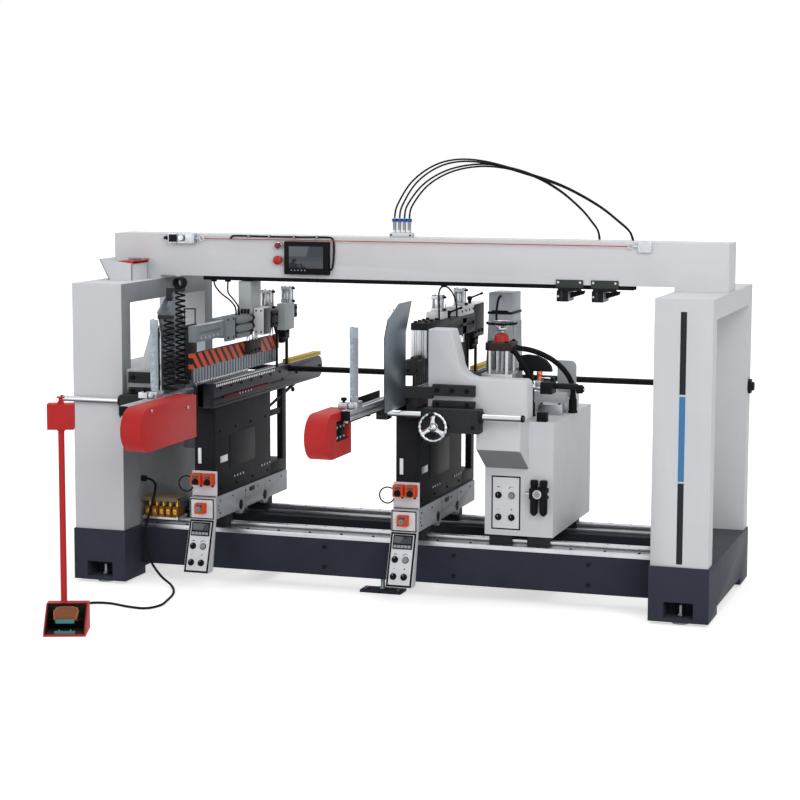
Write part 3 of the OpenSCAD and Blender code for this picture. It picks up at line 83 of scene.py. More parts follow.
def make_camera():
    data = bpy.data.cameras.new("camera")
    data.lens, data.sensor_width = CAMERA_LENS, CAMERA_SENSOR
    data.clip_start, data.clip_end = 0.1, 60.0
    camera = bpy.data.objects.new("camera", data)
    bpy.context.scene.collection.objects.link(camera)
    ahead = Vector((-math.sin(CAMERA_YAW) * math.cos(CAMERA_PITCH),
                    math.cos(CAMERA_YAW) * math.cos(CAMERA_PITCH), -math.sin(CAMERA_PITCH)))
    right = Vector((math.cos(CAMERA_YAW), math.sin(CAMERA_YAW), 0))
    up = right.cross(ahead)
    tilted = math.cos(CAMERA_ROLL) * right + math.sin(CAMERA_ROLL) * up
    camera.matrix_world = Matrix((tilted, tilted.cross(ahead), -ahead)).transposed().to_4x4()
    camera.location = metres(CAMERA_PLACE)
    bpy.context.scene.camera = camera


make_camera()


# Shader groups: each puts out what changes over a surface, by Object coordinates or by where a face looks
SURFACE = [("Colour", "Color"), ("Rough", "Float"), ("Height", "Float")]
DUST = (0.62, 0.58, 0.52, 1)
FIRST_BAND_SHARE = 0.56


def new_group(name, inputs, outputs):
    tree = bpy.data.node_groups.new(name, "ShaderNodeTree")
    for title, kind, value in inputs:
        socket = tree.interface.new_socket(title, in_out="INPUT", socket_type="NodeSocket" + kind)
        socket.default_value = value
    for title, kind in outputs:
        tree.interface.new_socket(title, in_out="OUTPUT", socket_type="NodeSocket" + kind)
    return tree, tree.nodes.new("NodeGroupInput").outputs, tree.nodes.new("NodeGroupOutput").inputs


def feed(tree, target, source):
    """Links a socket to another one, or sets it to a constant."""
    if isinstance(source, bpy.types.NodeSocket):
        tree.links.new(source, target)
    else:
        target.default_value = source


def add(tree, kind, links=(), family="ShaderNode", **values):
    """A node with its values set by attribute name and its inputs linked or set by socket name."""
    node = tree.nodes.new(family + kind)
    for key, value in values.items():
        setattr(node, key, value)
    for socket, source in dict(links).items():
        feed(tree, node.inputs[socket], source)
    return node


def mixed(tree, share, first, second):
    node = add(tree, "Mix", data_type="RGBA")
    for socket, source in ((0, share), (6, first), (7, second)):
        feed(tree, node.inputs[socket], source)
    return node.outputs[2]


def sums(tree, operation, first, second=0.0):
    """The result of one Math node."""
    return add(tree, "Math", {0: first, 1: second}, operation=operation).outputs[0]


def noise(tree, place, scale, detail, rough=0.5):
    """The grey value of a noise texture."""
    return add(tree, "TexNoise", {"Vector": place, "Scale": scale, "Detail": detail,
                                  "Roughness": rough}).outputs["Fac"]


def ranged(tree, value, low, high, to_low=0.0, to_high=1.0, **values):
    """A value carried over from one range to another and kept inside it."""
    return add(tree, "MapRange", {"Value": value, "From Min": low, "From Max": high, "To Min": to_low,
                                  "To Max": to_high}, **values).outputs[0]


def facing_up(tree):
    """How far a face looks up: 1 upwards, -1 downwards."""
    return add(tree, "SeparateXYZ", {0: add(tree, "NewGeometry").outputs["Normal"]}).outputs["Z"]


def make_coat_group():
    """Paint and moulded skins: fine orange peel, soft cloudy tint, dust that settles on upward faces."""
    tree, given, out = new_group("coat", [
        ("Colour", "Color", (0.5, 0.5, 0.5, 1)), ("Tint", "Color", (0.45, 0.45, 0.45, 1)),
        ("Dust", "Float", 0.1), ("Rough", "Float", 0.4), ("Spread", "Float", 0.1),
        ("Peel", "Float", 700.0)], SURFACE)
    place = add(tree, "TexCoord").outputs["Object"]
    cloud = noise(tree, place, 6.0, 5.0, 0.6)
    tinted = mixed(tree, ranged(tree, cloud, 0.35, 0.7), given["Colour"], given["Tint"])
    speck = noise(tree, place, 55.0, 6.0, 0.7)
    settled = sums(tree, "MULTIPLY", ranged(tree, facing_up(tree), 0.6, 1.0), speck)
    dusty = sums(tree, "MULTIPLY", settled, given["Dust"])
    rough = sums(tree, "ADD", sums(tree, "MULTIPLY", cloud, given["Spread"]), given["Rough"])
    tree.links.new(mixed(tree, dusty, tinted, DUST), out["Colour"])
    tree.links.new(sums(tree, "ADD", rough, dusty), out["Rough"])
    tree.links.new(noise(tree, place, given["Peel"], 2.0), out["Height"])
    return tree


def make_metal_group():
    """Bare metal: lines left by grinding or drawing along a stretched direction, with smoky stains."""
    tree, given, out = new_group("metal", [
        ("Colour", "Color", (0.6, 0.6, 0.6, 1)), ("Stain", "Color", (0.4, 0.4, 0.4, 1)),
        ("Grain", "Vector", (40.0, 900.0, 900.0)), ("Rough", "Float", 0.3), ("Spread", "Float", 0.15)],
        SURFACE)
    place = add(tree, "TexCoord").outputs["Object"]
    drawn = add(tree, "VectorMath", {0: place, 1: given["Grain"]}, operation="MULTIPLY").outputs[0]
    lines = noise(tree, drawn, 1.0, 3.0)
    smoke = noise(tree, place, 14.0, 6.0, 0.65)
    both = sums(tree, "MULTIPLY", ranged(tree, smoke, 0.42, 0.75), lines)
    swing = sums(tree, "MULTIPLY", lines, given["Spread"])
    tree.links.new(mixed(tree, both, given["Colour"], given["Stain"]), out["Colour"])
    tree.links.new(sums(tree, "ADD", swing, given["Rough"]), out["Rough"])
    tree.links.new(lines, out["Height"])
    return tree


def make_spangle_group():
    """Hot-dip zinc: crystal patches of slightly different grey."""
    tree, given, out = new_group("spangle", [
        ("Colour", "Color", (0.6, 0.62, 0.63, 1)), ("Patch", "Color", (0.45, 0.47, 0.49, 1)),
        ("Size", "Float", 60.0)], SURFACE)
    place = add(tree, "TexCoord").outputs["Object"]
    cell = add(tree, "TexVoronoi", {"Vector": place, "Scale": given["Size"]}).outputs["Color"]
    tone = add(tree, "SeparateColor", {0: cell}).outputs[0]
    tree.links.new(mixed(tree, tone, given["Colour"], given["Patch"]), out["Colour"])
    tree.links.new(ranged(tree, tone, 0.0, 1.0, 0.32, 0.52), out["Rough"])
    tree.links.new(tone, out["Height"])
    return tree


def make_band_group():
    """Slanted warning bands that run along Y and climb with Z."""
    tree, given, out = new_group("bands", [
        ("First", "Color", (0.8, 0.2, 0.05, 1)), ("Second", "Color", (0.02, 0.02, 0.02, 1)),
        ("Pitch", "Float", 0.05), ("Slant", "Float", 0.6)], SURFACE[:1])
    part = add(tree, "SeparateXYZ", {0: add(tree, "TexCoord").outputs["Object"]}).outputs
    along = sums(tree, "ADD", part["Y"], sums(tree, "MULTIPLY", part["Z"], given["Slant"]))
    turn = sums(tree, "FRACT", sums(tree, "DIVIDE", along, given["Pitch"]))
    side = sums(tree, "GREATER_THAN", turn, FIRST_BAND_SHARE)
    tree.links.new(mixed(tree, side, given["First"], given["Second"]), out["Colour"])
    return tree


def make_painted_reflection_group():
    """Painted reflection for bright metal: colour lighter on faces that look up and darker on faces that
    look down, as if a pale room above and a darker one below were mirrored.
    """
    tree, given, out = new_group("painted_reflection", [
        ("Bright", "Color", (0.7, 0.7, 0.7, 1)), ("Dim", "Color", (0.07, 0.07, 0.08, 1))], SURFACE[:1])
    share = ranged(tree, facing_up(tree), -0.55, 0.25, interpolation_type="SMOOTHSTEP")
    tree.links.new(mixed(tree, share, given["Dim"], given["Bright"]), out["Colour"])
    return tree


COAT, METAL, SPANGLE = make_coat_group(), make_metal_group(), make_spangle_group()
BANDS, PAINTED_REFLECTION = make_band_group(), make_painted_reflection_group()


# Finishes
def rgb(red, green, blue):
    """A screen colour, 0 to 255, as linear light."""
    def linear(c):
        c /= 255
        return c / 12.92 if c <= 0.04045 else ((c + 0.055) / 1.055) ** 2.4
    return (linear(red), linear(green), linear(blue), 1.0)


def shade(colour, factor):
    return (colour[0] * factor, colour[1] * factor, colour[2] * factor, 1.0)


COAT_RELIEF, METAL_RELIEF, ZINC_RELIEF = 0.0006, 0.0004, 0.0002


def new_finish(name, group, values, bump, distance, metallic=0.0, **sockets):
    """A material: one group's colour, roughness and bump into a Principled shader."""
    material = bpy.data.materials.new(name)
    material.use_nodes = True
    tree = material.node_tree
    shader = tree.nodes["Principled BSDF"].inputs
    look = add(tree, "Group", values, node_tree=group).outputs
    height = add(tree, "Bump", {"Height": look["Height"], "Strength": bump, "Distance": distance})
    tree.links.new(look["Colour"], shader["Base Color"])
    tree.links.new(look["Rough"], shader["Roughness"])
    tree.links.new(height.outputs[0], shader["Normal"])
    shader["Metallic"].default_value = metallic
    for socket, value in sockets.items():
        shader[socket.replace("_", " ")].default_value = value
    return material


def coat(name, colour, rough=0.4, spread=0.12, dust=0.05, peel=600.0, bump=0.12, tint=0.93, shine=0.2,
         **sockets):
    values = {"Colour": colour, "Tint": shade(colour, tint), "Dust": dust, "Rough": rough, "Spread": spread,
              "Peel": peel}
    return new_finish(name, COAT, values, bump, COAT_RELIEF, Specular_IOR_Level=shine, **sockets)


def metal(name, colour, rough=0.3, spread=0.15, grain=(30.0, 900.0, 900.0), bump=0.08, stain=0.72):
    values = {"Colour": colour, "Stain": shade(colour, stain), "Grain": grain, "Rough": rough,
              "Spread": spread}
    return new_finish(name, METAL, values, bump, METAL_RELIEF, metallic=1.0)


def recoloured(material, group, values):
    """A material that takes its colour from another group."""
    tree = material.node_tree
    colour = add(tree, "Group", values, node_tree=group).outputs["Colour"]
    tree.links.new(colour, tree.nodes["Principled BSDF"].inputs["Base Color"])
    return material


DULL = 0.05
IRON = {"rough": 0.46, "dust": 0.14, "peel": 240.0, "bump": 0.25, "tint": 0.8, "shine": DULL}
LIGHT_PAINT = coat("light_paint", rgb(226, 228, 232), rough=0.42, dust=0.06, tint=0.97)
BEAM_PAINT = coat("beam_paint", rgb(232, 234, 237), rough=0.4, dust=0.06, tint=0.97)
WHITE_CAST = coat("white_cast", rgb(228, 230, 234), rough=0.38, dust=0.08, peel=320.0, bump=0.2, tint=0.96)
NAVY_PAINT = coat("navy_paint", rgb(62, 65, 78), rough=0.45, dust=0.12, tint=0.86, shine=DULL)
BED_PAINT = coat("bed_paint", rgb(56, 59, 71), rough=0.48, dust=0.14, tint=0.86, shine=DULL)
GREY_CAST = coat("grey_cast", rgb(176, 180, 187), rough=0.44, dust=0.1, peel=260.0, bump=0.25, tint=0.92)
BLACK_PAINT = coat("black_paint", rgb(38, 39, 43), rough=0.42, dust=0.12, tint=0.8, shine=DULL)
IRON_BLACK = coat("iron_black", rgb(58, 59, 60), **IRON)
FLANGE_IRON = coat("flange_iron", rgb(66, 55, 54), **IRON)
RED_PAINT = coat("red_paint", rgb(202, 54, 55), rough=0.4, dust=0.05, tint=0.92, shine=0.08)
ORANGE = coat("orange_case", rgb(226, 82, 40), rough=0.36, dust=0.03, peel=900.0, bump=0.05)
BLACK_PLASTIC = coat("black_plastic", rgb(30, 30, 33), rough=0.46, peel=1200.0, bump=0.1, tint=0.85,
                     shine=DULL)
GREY_PLASTIC = coat("grey_plastic", rgb(150, 152, 156), rough=0.42, peel=1200.0, bump=0.08)
RUBBER = coat("rubber", rgb(33, 33, 36), rough=0.58, dust=0.1, peel=900.0, bump=0.15, tint=0.8, shine=DULL)
PANEL_FACE = coat("panel_face", rgb(236, 239, 243), rough=0.36, dust=0.02, bump=0.03, tint=0.97)
BLUE_PLASTIC = coat("blue_plastic", rgb(44, 92, 178), rough=0.3, bump=0.04)
STRIPE_BLUE = coat("stripe_blue", rgb(74, 134, 186), rough=0.4, bump=0.03)
STRIPE_DARK = coat("stripe_dark", rgb(52, 53, 58), rough=0.4, bump=0.03, shine=DULL)
YELLOW = coat("yellow_strip", rgb(206, 172, 58), rough=0.5, dust=0.1, tint=0.82)
STOP_RED = coat("stop_red", rgb(206, 30, 34), rough=0.28, bump=0.03, Coat_Weight=0.3)
START_RED = coat("start_red", rgb(128, 34, 44), rough=0.3, bump=0.03, Coat_Weight=0.3)
DULL_RED = coat("dull_red", rgb(122, 34, 44), rough=0.5, dust=0.1, tint=0.8, shine=0.06)
CLUTCH_RED = coat("clutch_red", rgb(202, 62, 50), rough=0.34, dust=0.05, tint=0.88)
WIRE_RED = coat("wire_red", rgb(186, 62, 58), rough=0.4, dust=0.04)
TREADLE = coat("treadle_rubber", rgb(140, 82, 44), rough=0.6, dust=0.1, tint=0.8)
TREADLE_RIM = coat("treadle_rim", rgb(206, 138, 66), rough=0.5, dust=0.05)
TEAL = coat("teal_rubber", rgb(78, 142, 140), rough=0.55, dust=0.06)
VALVE_OCHRE = coat("valve_ochre", rgb(166, 118, 48), rough=0.5, dust=0.2, tint=0.6, shine=0.08)
SHELF_TAN = coat("shelf_tan", rgb(142, 128, 104), rough=0.55, dust=0.2, tint=0.7, shine=0.06)
# Painted shade: a darker grey for downward-sloping faces, standing in for the shade under the casting
PAINTED_UNDERSIDE_SHADE = coat("painted_underside_shade", rgb(142, 148, 148), rough=0.5, dust=0.1, tint=0.9, shine=DULL)
# Painted shade: a darker grey for the left column's inner side, standing in for the shadow of the units in
# front of it
PAINTED_WALL_SHADE = coat("painted_wall_shade", rgb(160, 165, 170), rough=0.5, dust=0.1, tint=0.86, shine=DULL)
GREY_MOTOR = coat("motor_grey", rgb(186, 192, 198), rough=0.4, dust=0.06, peel=420.0, bump=0.2, tint=0.94)
COVER_SHEET = coat("cover_sheet", rgb(70, 77, 74), rough=0.34, dust=0.06, tint=0.84, shine=DULL)
KEY_GREY = coat("key_grey", rgb(168, 172, 178), rough=0.44, peel=1200.0, bump=0.06)
LINING = coat("dark_lining", rgb(36, 34, 36), rough=0.56, dust=0.12, tint=0.8, shine=DULL)
ARM_GREY = coat("arm_grey", rgb(138, 146, 152), rough=0.46, dust=0.08, peel=300.0, bump=0.2, tint=0.9,
                shine=0.12)
BOX_GREY = coat("box_grey", rgb(198, 205, 207), rough=0.42, dust=0.05, tint=0.94, shine=0.12)
DISPLAY = coat("display_glass", rgb(52, 60, 70), rough=0.08, spread=0.03, dust=0.02, bump=0.0,
               Coat_Weight=0.6, Coat_Roughness=0.05)
WARNING = recoloured(coat("warning_bands", rgb(214, 78, 36), rough=0.45), BANDS, {
    "First": rgb(226, 88, 56), "Second": rgb(26, 26, 28), "Pitch": 0.069, "Slant": 1.05})
STEEL = metal("ground_steel", rgb(196, 198, 202), rough=0.24, grain=(18.0, 1100.0, 1100.0))
ALUMINIUM = metal("anodised", rgb(188, 191, 196), rough=0.36, grain=(900.0, 24.0, 900.0), stain=0.85)
DARK_ALLOY = metal("dark_anodised", rgb(50, 50, 57), rough=0.4, grain=(900.0, 24.0, 900.0), stain=0.7)
# Chrome's colour carries a painted reflection: paler on upward faces, darker on downward ones
CHROME = recoloured(metal("chrome", rgb(206, 209, 213), rough=0.12, spread=0.05,
                          grain=(120.0, 120.0, 120.0), bump=0.01, stain=0.9),
                    PAINTED_REFLECTION, {"Bright": rgb(214, 217, 221), "Dim": rgb(74, 77, 82)})
BRASS = metal("brass", rgb(206, 160, 72), rough=0.28, stain=0.6)
COPPER = metal("copper", rgb(206, 118, 74), rough=0.25, stain=0.7)
ZINC = new_finish("galvanised", SPANGLE,
                  {"Colour": rgb(128, 138, 144), "Patch": rgb(118, 127, 133), "Size": 140.0},
                  0.02, ZINC_RELIEF, metallic=1.0)
ZINC_SHEET = metal("zinc_sheet", rgb(138, 148, 156), rough=0.36, grain=(600.0, 600.0, 9.0), bump=0.02,
                   stain=0.84)
SLAT_STEEL = metal("slat_steel", rgb(104, 112, 120), rough=0.34, grain=(900.0, 900.0, 24.0), stain=0.7)


# Geometry Nodes for what repeats on a line or follows a route
SOCKET_DEPTH = 0.55
RIB_SIDES = 14


def new_steps(name, inputs):
    tree = bpy.data.node_groups.new(name, "GeometryNodeTree")
    for title, kind in inputs:
        tree.interface.new_socket(title, in_out="INPUT", socket_type="NodeSocket" + kind)
    tree.interface.new_socket("Geometry", in_out="OUTPUT", socket_type="NodeSocketGeometry")
    return tree, tree.nodes.new("NodeGroupInput").outputs, tree.nodes.new("NodeGroupOutput").inputs[0]


def step(tree, kind, links=(), **values):
    """The outputs of a new Geometry Nodes node."""
    return add(tree, kind, links, "GeometryNode", **values).outputs


def close_steps(tree, shape, finish, out):
    solid = step(tree, "RealizeInstances", {"Geometry": shape})[0]
    tree.links.new(step(tree, "SetMaterial", {"Geometry": solid, "Material": finish})[0], out)
    return tree


def make_stud_row():
    """Round studs on a line of points, each with a socket sunk into its end."""
    tree, given, out = new_steps("stud_row", [
        ("First", "Vector"), ("Step", "Vector"), ("Count", "Int"), ("Axis", "Vector"), ("Radius", "Float"),
        ("Length", "Float"), ("Socket", "Float"), ("Sides", "Int"), ("Finish", "Material")])
    length = given["Length"]
    line = step(tree, "MeshLine", {"Count": given["Count"], "Start Location": given["First"],
                                   "Offset": given["Step"]})
    stud = step(tree, "MeshCylinder",
                {"Vertices": given["Sides"], "Radius": given["Radius"], "Depth": length})
    rim = step(tree, "ExtrudeMesh", {"Mesh": stud["Mesh"], "Selection": stud["Top"], "Offset Scale": 0.0})
    narrow = step(tree, "ScaleElements", {"Geometry": rim["Mesh"], "Selection": rim["Top"],
                                          "Scale": given["Socket"]})
    depth = sums(tree, "MULTIPLY", length, -SOCKET_DEPTH)
    sunk = step(tree, "ExtrudeMesh", {"Mesh": narrow[0], "Selection": rim["Top"], "Offset Scale": depth})
    lift = add(tree, "CombineXYZ", {2: sums(tree, "MULTIPLY", length, 0.5)}).outputs[0]
    raised = step(tree, "Transform", {"Geometry": sunk["Mesh"], "Translation": lift})
    turn = add(tree, "AlignRotationToVector", {"Vector": given["Axis"]}, "FunctionNode",
               axis="Z").outputs[0]
    studs = step(tree, "InstanceOnPoints", {"Points": line[0], "Instance": raised[0], "Rotation": turn})
    return close_steps(tree, studs[0], given["Finish"], out)


def make_ribbed_tube():
    """A tube along a curve whose radius swells at every second ring."""
    tree, given, out = new_steps("ribbed_tube", [
        ("Geometry", "Geometry"), ("Radius", "Float"), ("Pitch", "Float"), ("Rib", "Float"),
        ("Finish", "Material")])
    rings = step(tree, "ResampleCurve", {"Curve": given["Geometry"], "Length": given["Pitch"]},
                 mode="LENGTH")
    every = sums(tree, "MODULO", step(tree, "InputIndex")[0], 2.0)
    scale = sums(tree, "ADD", sums(tree, "MULTIPLY", every, given["Rib"]), 1.0)
    ring = step(tree, "CurvePrimitiveCircle", {"Resolution": RIB_SIDES, "Radius": given["Radius"]})
    skin = step(tree, "CurveToMesh",
                {"Curve": rings[0], "Profile Curve": ring[0], "Scale": scale, "Fill Caps": True})
    return close_steps(tree, skin[0], given["Finish"], out)


STUD_ROW, RIBBED_TUBE = make_stud_row(), make_ribbed_tube()


def grown(tree, values, route=None):
    """The plain mesh that a tree makes from its named values, on a curve where a route is given."""
    if route:
        data = bpy.data.curves.new(tree.name, "CURVE")
        data.dimensions = "3D"
        line = data.splines.new("POLY")
        line.points.add(len(route) - 1)
        for point, place in zip(line.points, route):
            point.co = (*place, 1.0)
    else:
        data = bpy.data.meshes.new(tree.name)
    made = bpy.data.objects.new(tree.name, data)
    bpy.context.scene.collection.objects.link(made)
    steps = made.modifiers.new("steps", "NODES")
    steps.node_group = tree
    for socket in tree.interface.items_tree:
        if socket.in_out == "INPUT" and socket.name in values:
            steps[socket.identifier] = values[socket.name]
    graph = bpy.context.evaluated_depsgraph_get()
    mesh = bpy.data.meshes.new_from_object(made.evaluated_get(graph))
    bpy.data.objects.remove(made)
    return mesh


# Pieces built in mesh code
SHARP_ANGLE, BEVEL_ANGLE, FLAT_ANGLE = math.radians(38), math.radians(40), math.radians(0.6)
WELD_REACH = 0.00001
ROUTE_STEPS, CONDUIT_STEPS = 6, 8


def smooth_route(points, steps=ROUTE_STEPS):
    """A smooth path through the points, with steps parts between neighbours."""
    p = [Vector(q) for q in points]
    path = []
    for i in range(len(p) - 1):
        a, b, c, d = p[max(i - 1, 0)], p[i], p[i + 1], p[min(i + 2, len(p) - 1)]
        for k in range(steps):
            t = k / steps
            path.append(0.5 * (2 * b + (c - a) * t + (2 * a - 5 * b + 4 * c - d) * t * t
                               + (3 * b - a - 3 * c + d) * t * t * t))
    return path + [p[-1]]


def circle(centre, side, other, radius, sides):
    """Points round a centre, in the plane of two directions."""
    turns = (2 * math.pi * k / sides for k in range(sides))
    return [centre + (side * math.cos(a) + other * math.sin(a)) * radius for a in turns]


def round_edges(made, width, segments):
    """Bevels every edge sharper than BEVEL_ANGLE and keeps the result as a plain mesh."""
    modifier = made.modifiers.new("edges", "BEVEL")
    modifier.width, modifier.segments = width, segments
    modifier.limit_method, modifier.angle_limit = "ANGLE", BEVEL_ANGLE
    graph = bpy.context.evaluated_depsgraph_get()
    data = bpy.data.meshes.new_from_object(made.evaluated_get(graph))
    made.modifiers.clear()
    made.data = data


class Piece:
    """One object of several finishes that rides on one body. Its shapes are given in millimetres."""

    def __init__(self, name, body, place=None):
        self.name, self.body = name, body
        self.mesh, self.finishes = bmesh.new(), []
        self.place = place or Matrix.Identity(4)

    def paint(self, faces, finish):
        if finish not in self.finishes:
            self.finishes.append(finish)
        index = self.finishes.index(finish)
        for face in faces:
            face.material_index = index

    def points(self, places):
        return [self.mesh.verts.new(self.place @ Vector(p)) for p in places]

    def skin(self, rings, finish, closed=False):
        """Faces between neighbouring rings of points, joined into a loop or capped at both ends."""
        sides = len(rings[0])
        following = rings[1:] + rings[:1] if closed else rings[1:]
        faces = [self.mesh.faces.new((a[k], a[(k + 1) % sides], b[(k + 1) % sides], b[k]))
                 for a, b in zip(rings, following) for k in range(sides)]
        if not closed:
            faces += [self.mesh.faces.new(rings[0]), self.mesh.faces.new(rings[-1])]
        self.paint(faces, finish)

    def blocks(self, finish, *boxes):
        """Plain blocks of one finish, each given as its lowest corner and then its size."""
        for box in boxes:
            low, size = Vector(box[:3]), Vector(box[3:])
            shape = Matrix.Translation(low + size / 2) @ Matrix.Diagonal((*size, 1.0))
            made = bmesh.ops.create_cube(self.mesh, size=1.0, matrix=self.place @ shape)
            self.paint({f for v in made["verts"] for f in v.link_faces}, finish)

    def turned(self, base, axis, profile, finish, sides=24):
        """A lathe shape: profile holds (distance along axis, radius) from one end to the other."""
        axis = Vector(axis).normalized()
        side = axis.orthogonal().normalized()
        other = axis.cross(side)
        self.skin([self.points(circle(Vector(base) + axis * along, side, other, radius, sides))
                   for along, radius in profile], finish)

    def rod(self, start, end, radius, finish, sides=24):
        axis = Vector(end) - Vector(start)
        self.turned(start, axis, [(0, radius), (axis.length, radius)], finish, sides)

    def ring(self, centre, axis, radius, wire, finish, wire_sides, squash=1.0, sides=64):
        """A round ring of wire; squash flattens the wire along the axis."""
        side = axis.orthogonal().normalized()
        self.skin([self.points(circle(Vector(centre) + out * radius, out, axis * squash, wire, wire_sides))
                   for out in circle(Vector(), side, axis.cross(side), 1.0, sides)], finish, closed=True)

    def prism(self, outline, along, low, high, finish):
        """An outline pushed along X, Y or Z from low to high."""
        def lift(p, t):
            return {"x": (t, p[0], p[1]), "y": (p[0], t, p[1]), "z": (p[0], p[1], t)}[along]
        self.skin([self.points([lift(p, t) for p in outline]) for t in (low, high)], finish)

    def tube(self, places, radius, finish, sides=12, steps=ROUTE_STEPS):
        """A round tube along a smooth route."""
        path = smooth_route(places, steps)
        side = (path[1] - path[0]).orthogonal().normalized()
        rings = []
        for k, p in enumerate(path):
            ahead = (path[min(k + 1, len(path) - 1)] - path[max(k - 1, 0)]).normalized()
            side = (side - ahead * side.dot(ahead)).normalized()
            rings.append(self.points(circle(p, side, ahead.cross(side), radius, sides)))
        self.skin(rings, finish)

    def row(self, first, step, count, axis, radius, length, finish=BLACK_PLASTIC, socket=0.55, sides=14):
        """Equal round studs or cap screws on a line; socket is the recess as a share of the radius."""
        self.take(grown(STUD_ROW, {"First": Vector(first), "Step": Vector(step), "Count": count,
                                   "Axis": Vector(axis), "Radius": radius, "Length": length,
                                   "Socket": socket, "Sides": sides, "Finish": finish}), finish)

    def two_rows(self, first, step, count, lift, *studs):
        """Two equal rows of studs, the second moved by lift."""
        self.row(first, step, count, *studs)
        self.row(Vector(first) + lift, step, count, *studs)

    def ribbed(self, route, radius, pitch, finish, rib=0.12):
        """A ribbed conduit along a route."""
        self.take(grown(RIBBED_TUBE, {"Radius": radius, "Pitch": pitch, "Rib": rib, "Finish": finish},
                        route), finish)

    def take(self, mesh, finish):
        """Adds a finished mesh, already in millimetres of the machine's frame."""
        before, corners = len(self.mesh.faces), len(self.mesh.verts)
        self.mesh.from_mesh(mesh)
        self.mesh.faces.ensure_lookup_table()
        self.mesh.verts.ensure_lookup_table()
        bmesh.ops.transform(self.mesh, matrix=self.place, verts=self.mesh.verts[corners:])
        self.paint(self.mesh.faces[before:], finish)

    def done(self, bevel=0.0, replaces=(), segments=2, keep_normals=False):
        if not keep_normals:
            bmesh.ops.recalc_face_normals(self.mesh, faces=self.mesh.faces)
        self.mesh.transform(Matrix.Translation(ORIGIN) @ Matrix.Scale(MM, 4))
        data = bpy.data.meshes.new(self.name)
        self.mesh.to_mesh(data)
        self.mesh.free()
        for finish in self.finishes:
            data.materials.append(finish)
        made = bpy.data.objects.new(self.name, data)
        bpy.context.scene.collection.objects.link(made)
        if bevel:
            round_edges(made, bevel * MM, segments)
        made.data.shade_smooth()
        made.data.set_sharp_from_angle(angle=SHARP_ANGLE)
        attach(made, self.body)
        if replaces:
            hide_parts(*replaces)
        return made


def body_of(node):
    return next(body for body, nodes in frame["record"]["behaviour"]["bodies"].items() if node in nodes)


def dressed(node, finish, regions=(), bevel=1.5, segments=2, cut=None):
    """The solid of a node with its edges rounded. A region is a finish and a test on a face's middle
    and normal, in millimetres; the last test that holds gives the face its finish, and a finish of None
    takes the face away for a finer piece in its place. A cut is a point and the direction beyond it that
    finer pieces take over."""
    piece = Piece(node + "_dressed", body_of(node))
    mesh = piece.mesh
    mesh.from_mesh(frame["nodes"][node].data)
    bmesh.ops.remove_doubles(mesh, verts=mesh.verts, dist=WELD_REACH)
    bmesh.ops.dissolve_limit(mesh, angle_limit=FLAT_ANGLE, verts=mesh.verts[:], edges=mesh.edges[:])
    mesh.transform(Matrix.Scale(1 / MM, 4) @ Matrix.Translation(-ORIGIN))
    if cut:
        bmesh.ops.bisect_plane(mesh, geom=mesh.verts[:] + mesh.edges[:] + mesh.faces[:], plane_co=cut[0],
                               plane_no=cut[1], clear_outer=True)
    mesh.normal_update()
    piece.paint(mesh.faces, finish)
    for region_finish, test in regions:
        chosen = [f for f in mesh.faces if test(f.calc_center_median(), f.normal)]
        if region_finish is None:
            bmesh.ops.delete(mesh, geom=chosen, context="FACES")
        else:
            piece.paint(chosen, region_finish)
    return piece.done(bevel, [node], segments, keep_normals=True)


# Cords and hoses come first: their routes are the ones that the solids follow
OUTER_HOSE = [(0, 0, 1646), (4, 2, 1700), (60, 8, 1800), (150, 14, 1870), (250, 20, 1898), (370, 26, 1890),
              (520, 32, 1850), (700, 36, 1790), (850, 40, 1710), (940, 42, 1640), (980, 42, 1600),
              (990, 42, 1563)]
INNER_HOSE = [(0, 0, 1646), (4, 2, 1700), (70, 8, 1790), (170, 14, 1850), (290, 20, 1876), (410, 26, 1870),
              (540, 32, 1835), (660, 36, 1770), (755, 40, 1690), (805, 42, 1630), (825, 42, 1598),
              (830, 42, 1563)]
HOSE_R, HOSE_SPREAD, HOSE_LIFT, HOSE_SEAT = 4.0, 26.0, 10.0, 2.0
FITTING_COUNT, FITTING_PITCH = 4, 23.0
PEDAL_CORD = [(-1175.5, 190, 457), (-1167, 190, 457), (-1144, 187, 451), (-1127, 180, 436),
              (-1121, 169, 416), (-1122, 150, 375), (-1132, 125, 310), (-1142, 105, 240), (-1136, 90, 165),
              (-1100, 72, 95), (-1040, 45, 40), (-970, 0, 12), (-905, -120, 7), (-868, -270, 7),
              (-856, -370, 7), (-890, -440, 7), (-968, -438, 7), (-1080, -402, 7), (-1160, -424, 7),
              (-1192, -500, 7), (-1184, -600, 7), (-1150, -690, 9), (-1112, -756, 15), (-1087, -806, 22),
              (-1073.4, -843.9, 24)]
PEDAL_CORD_R = 5.5
CURL_X, CURL_Y, CURL_TOP, CURL_TURNS = -877.0, (-202.0, -80.0), (1236.0, 1346.0), (13, 17)
CURL_R, CURL_PITCH, CURL_TUBE_R, CURL_LEAD, CURL_STEPS = 20.0, 24.0, 4.0, 10.0, 20
BUNDLE_X, BUNDLE_Y, BUNDLE_Z, BUNDLE_R = CURL_X + 4, (-120.0, -62.0), 1375.0, 22.0
BUNDLE_TURN, BUNDLE_STEPS = 5 * 2 * math.pi, 110
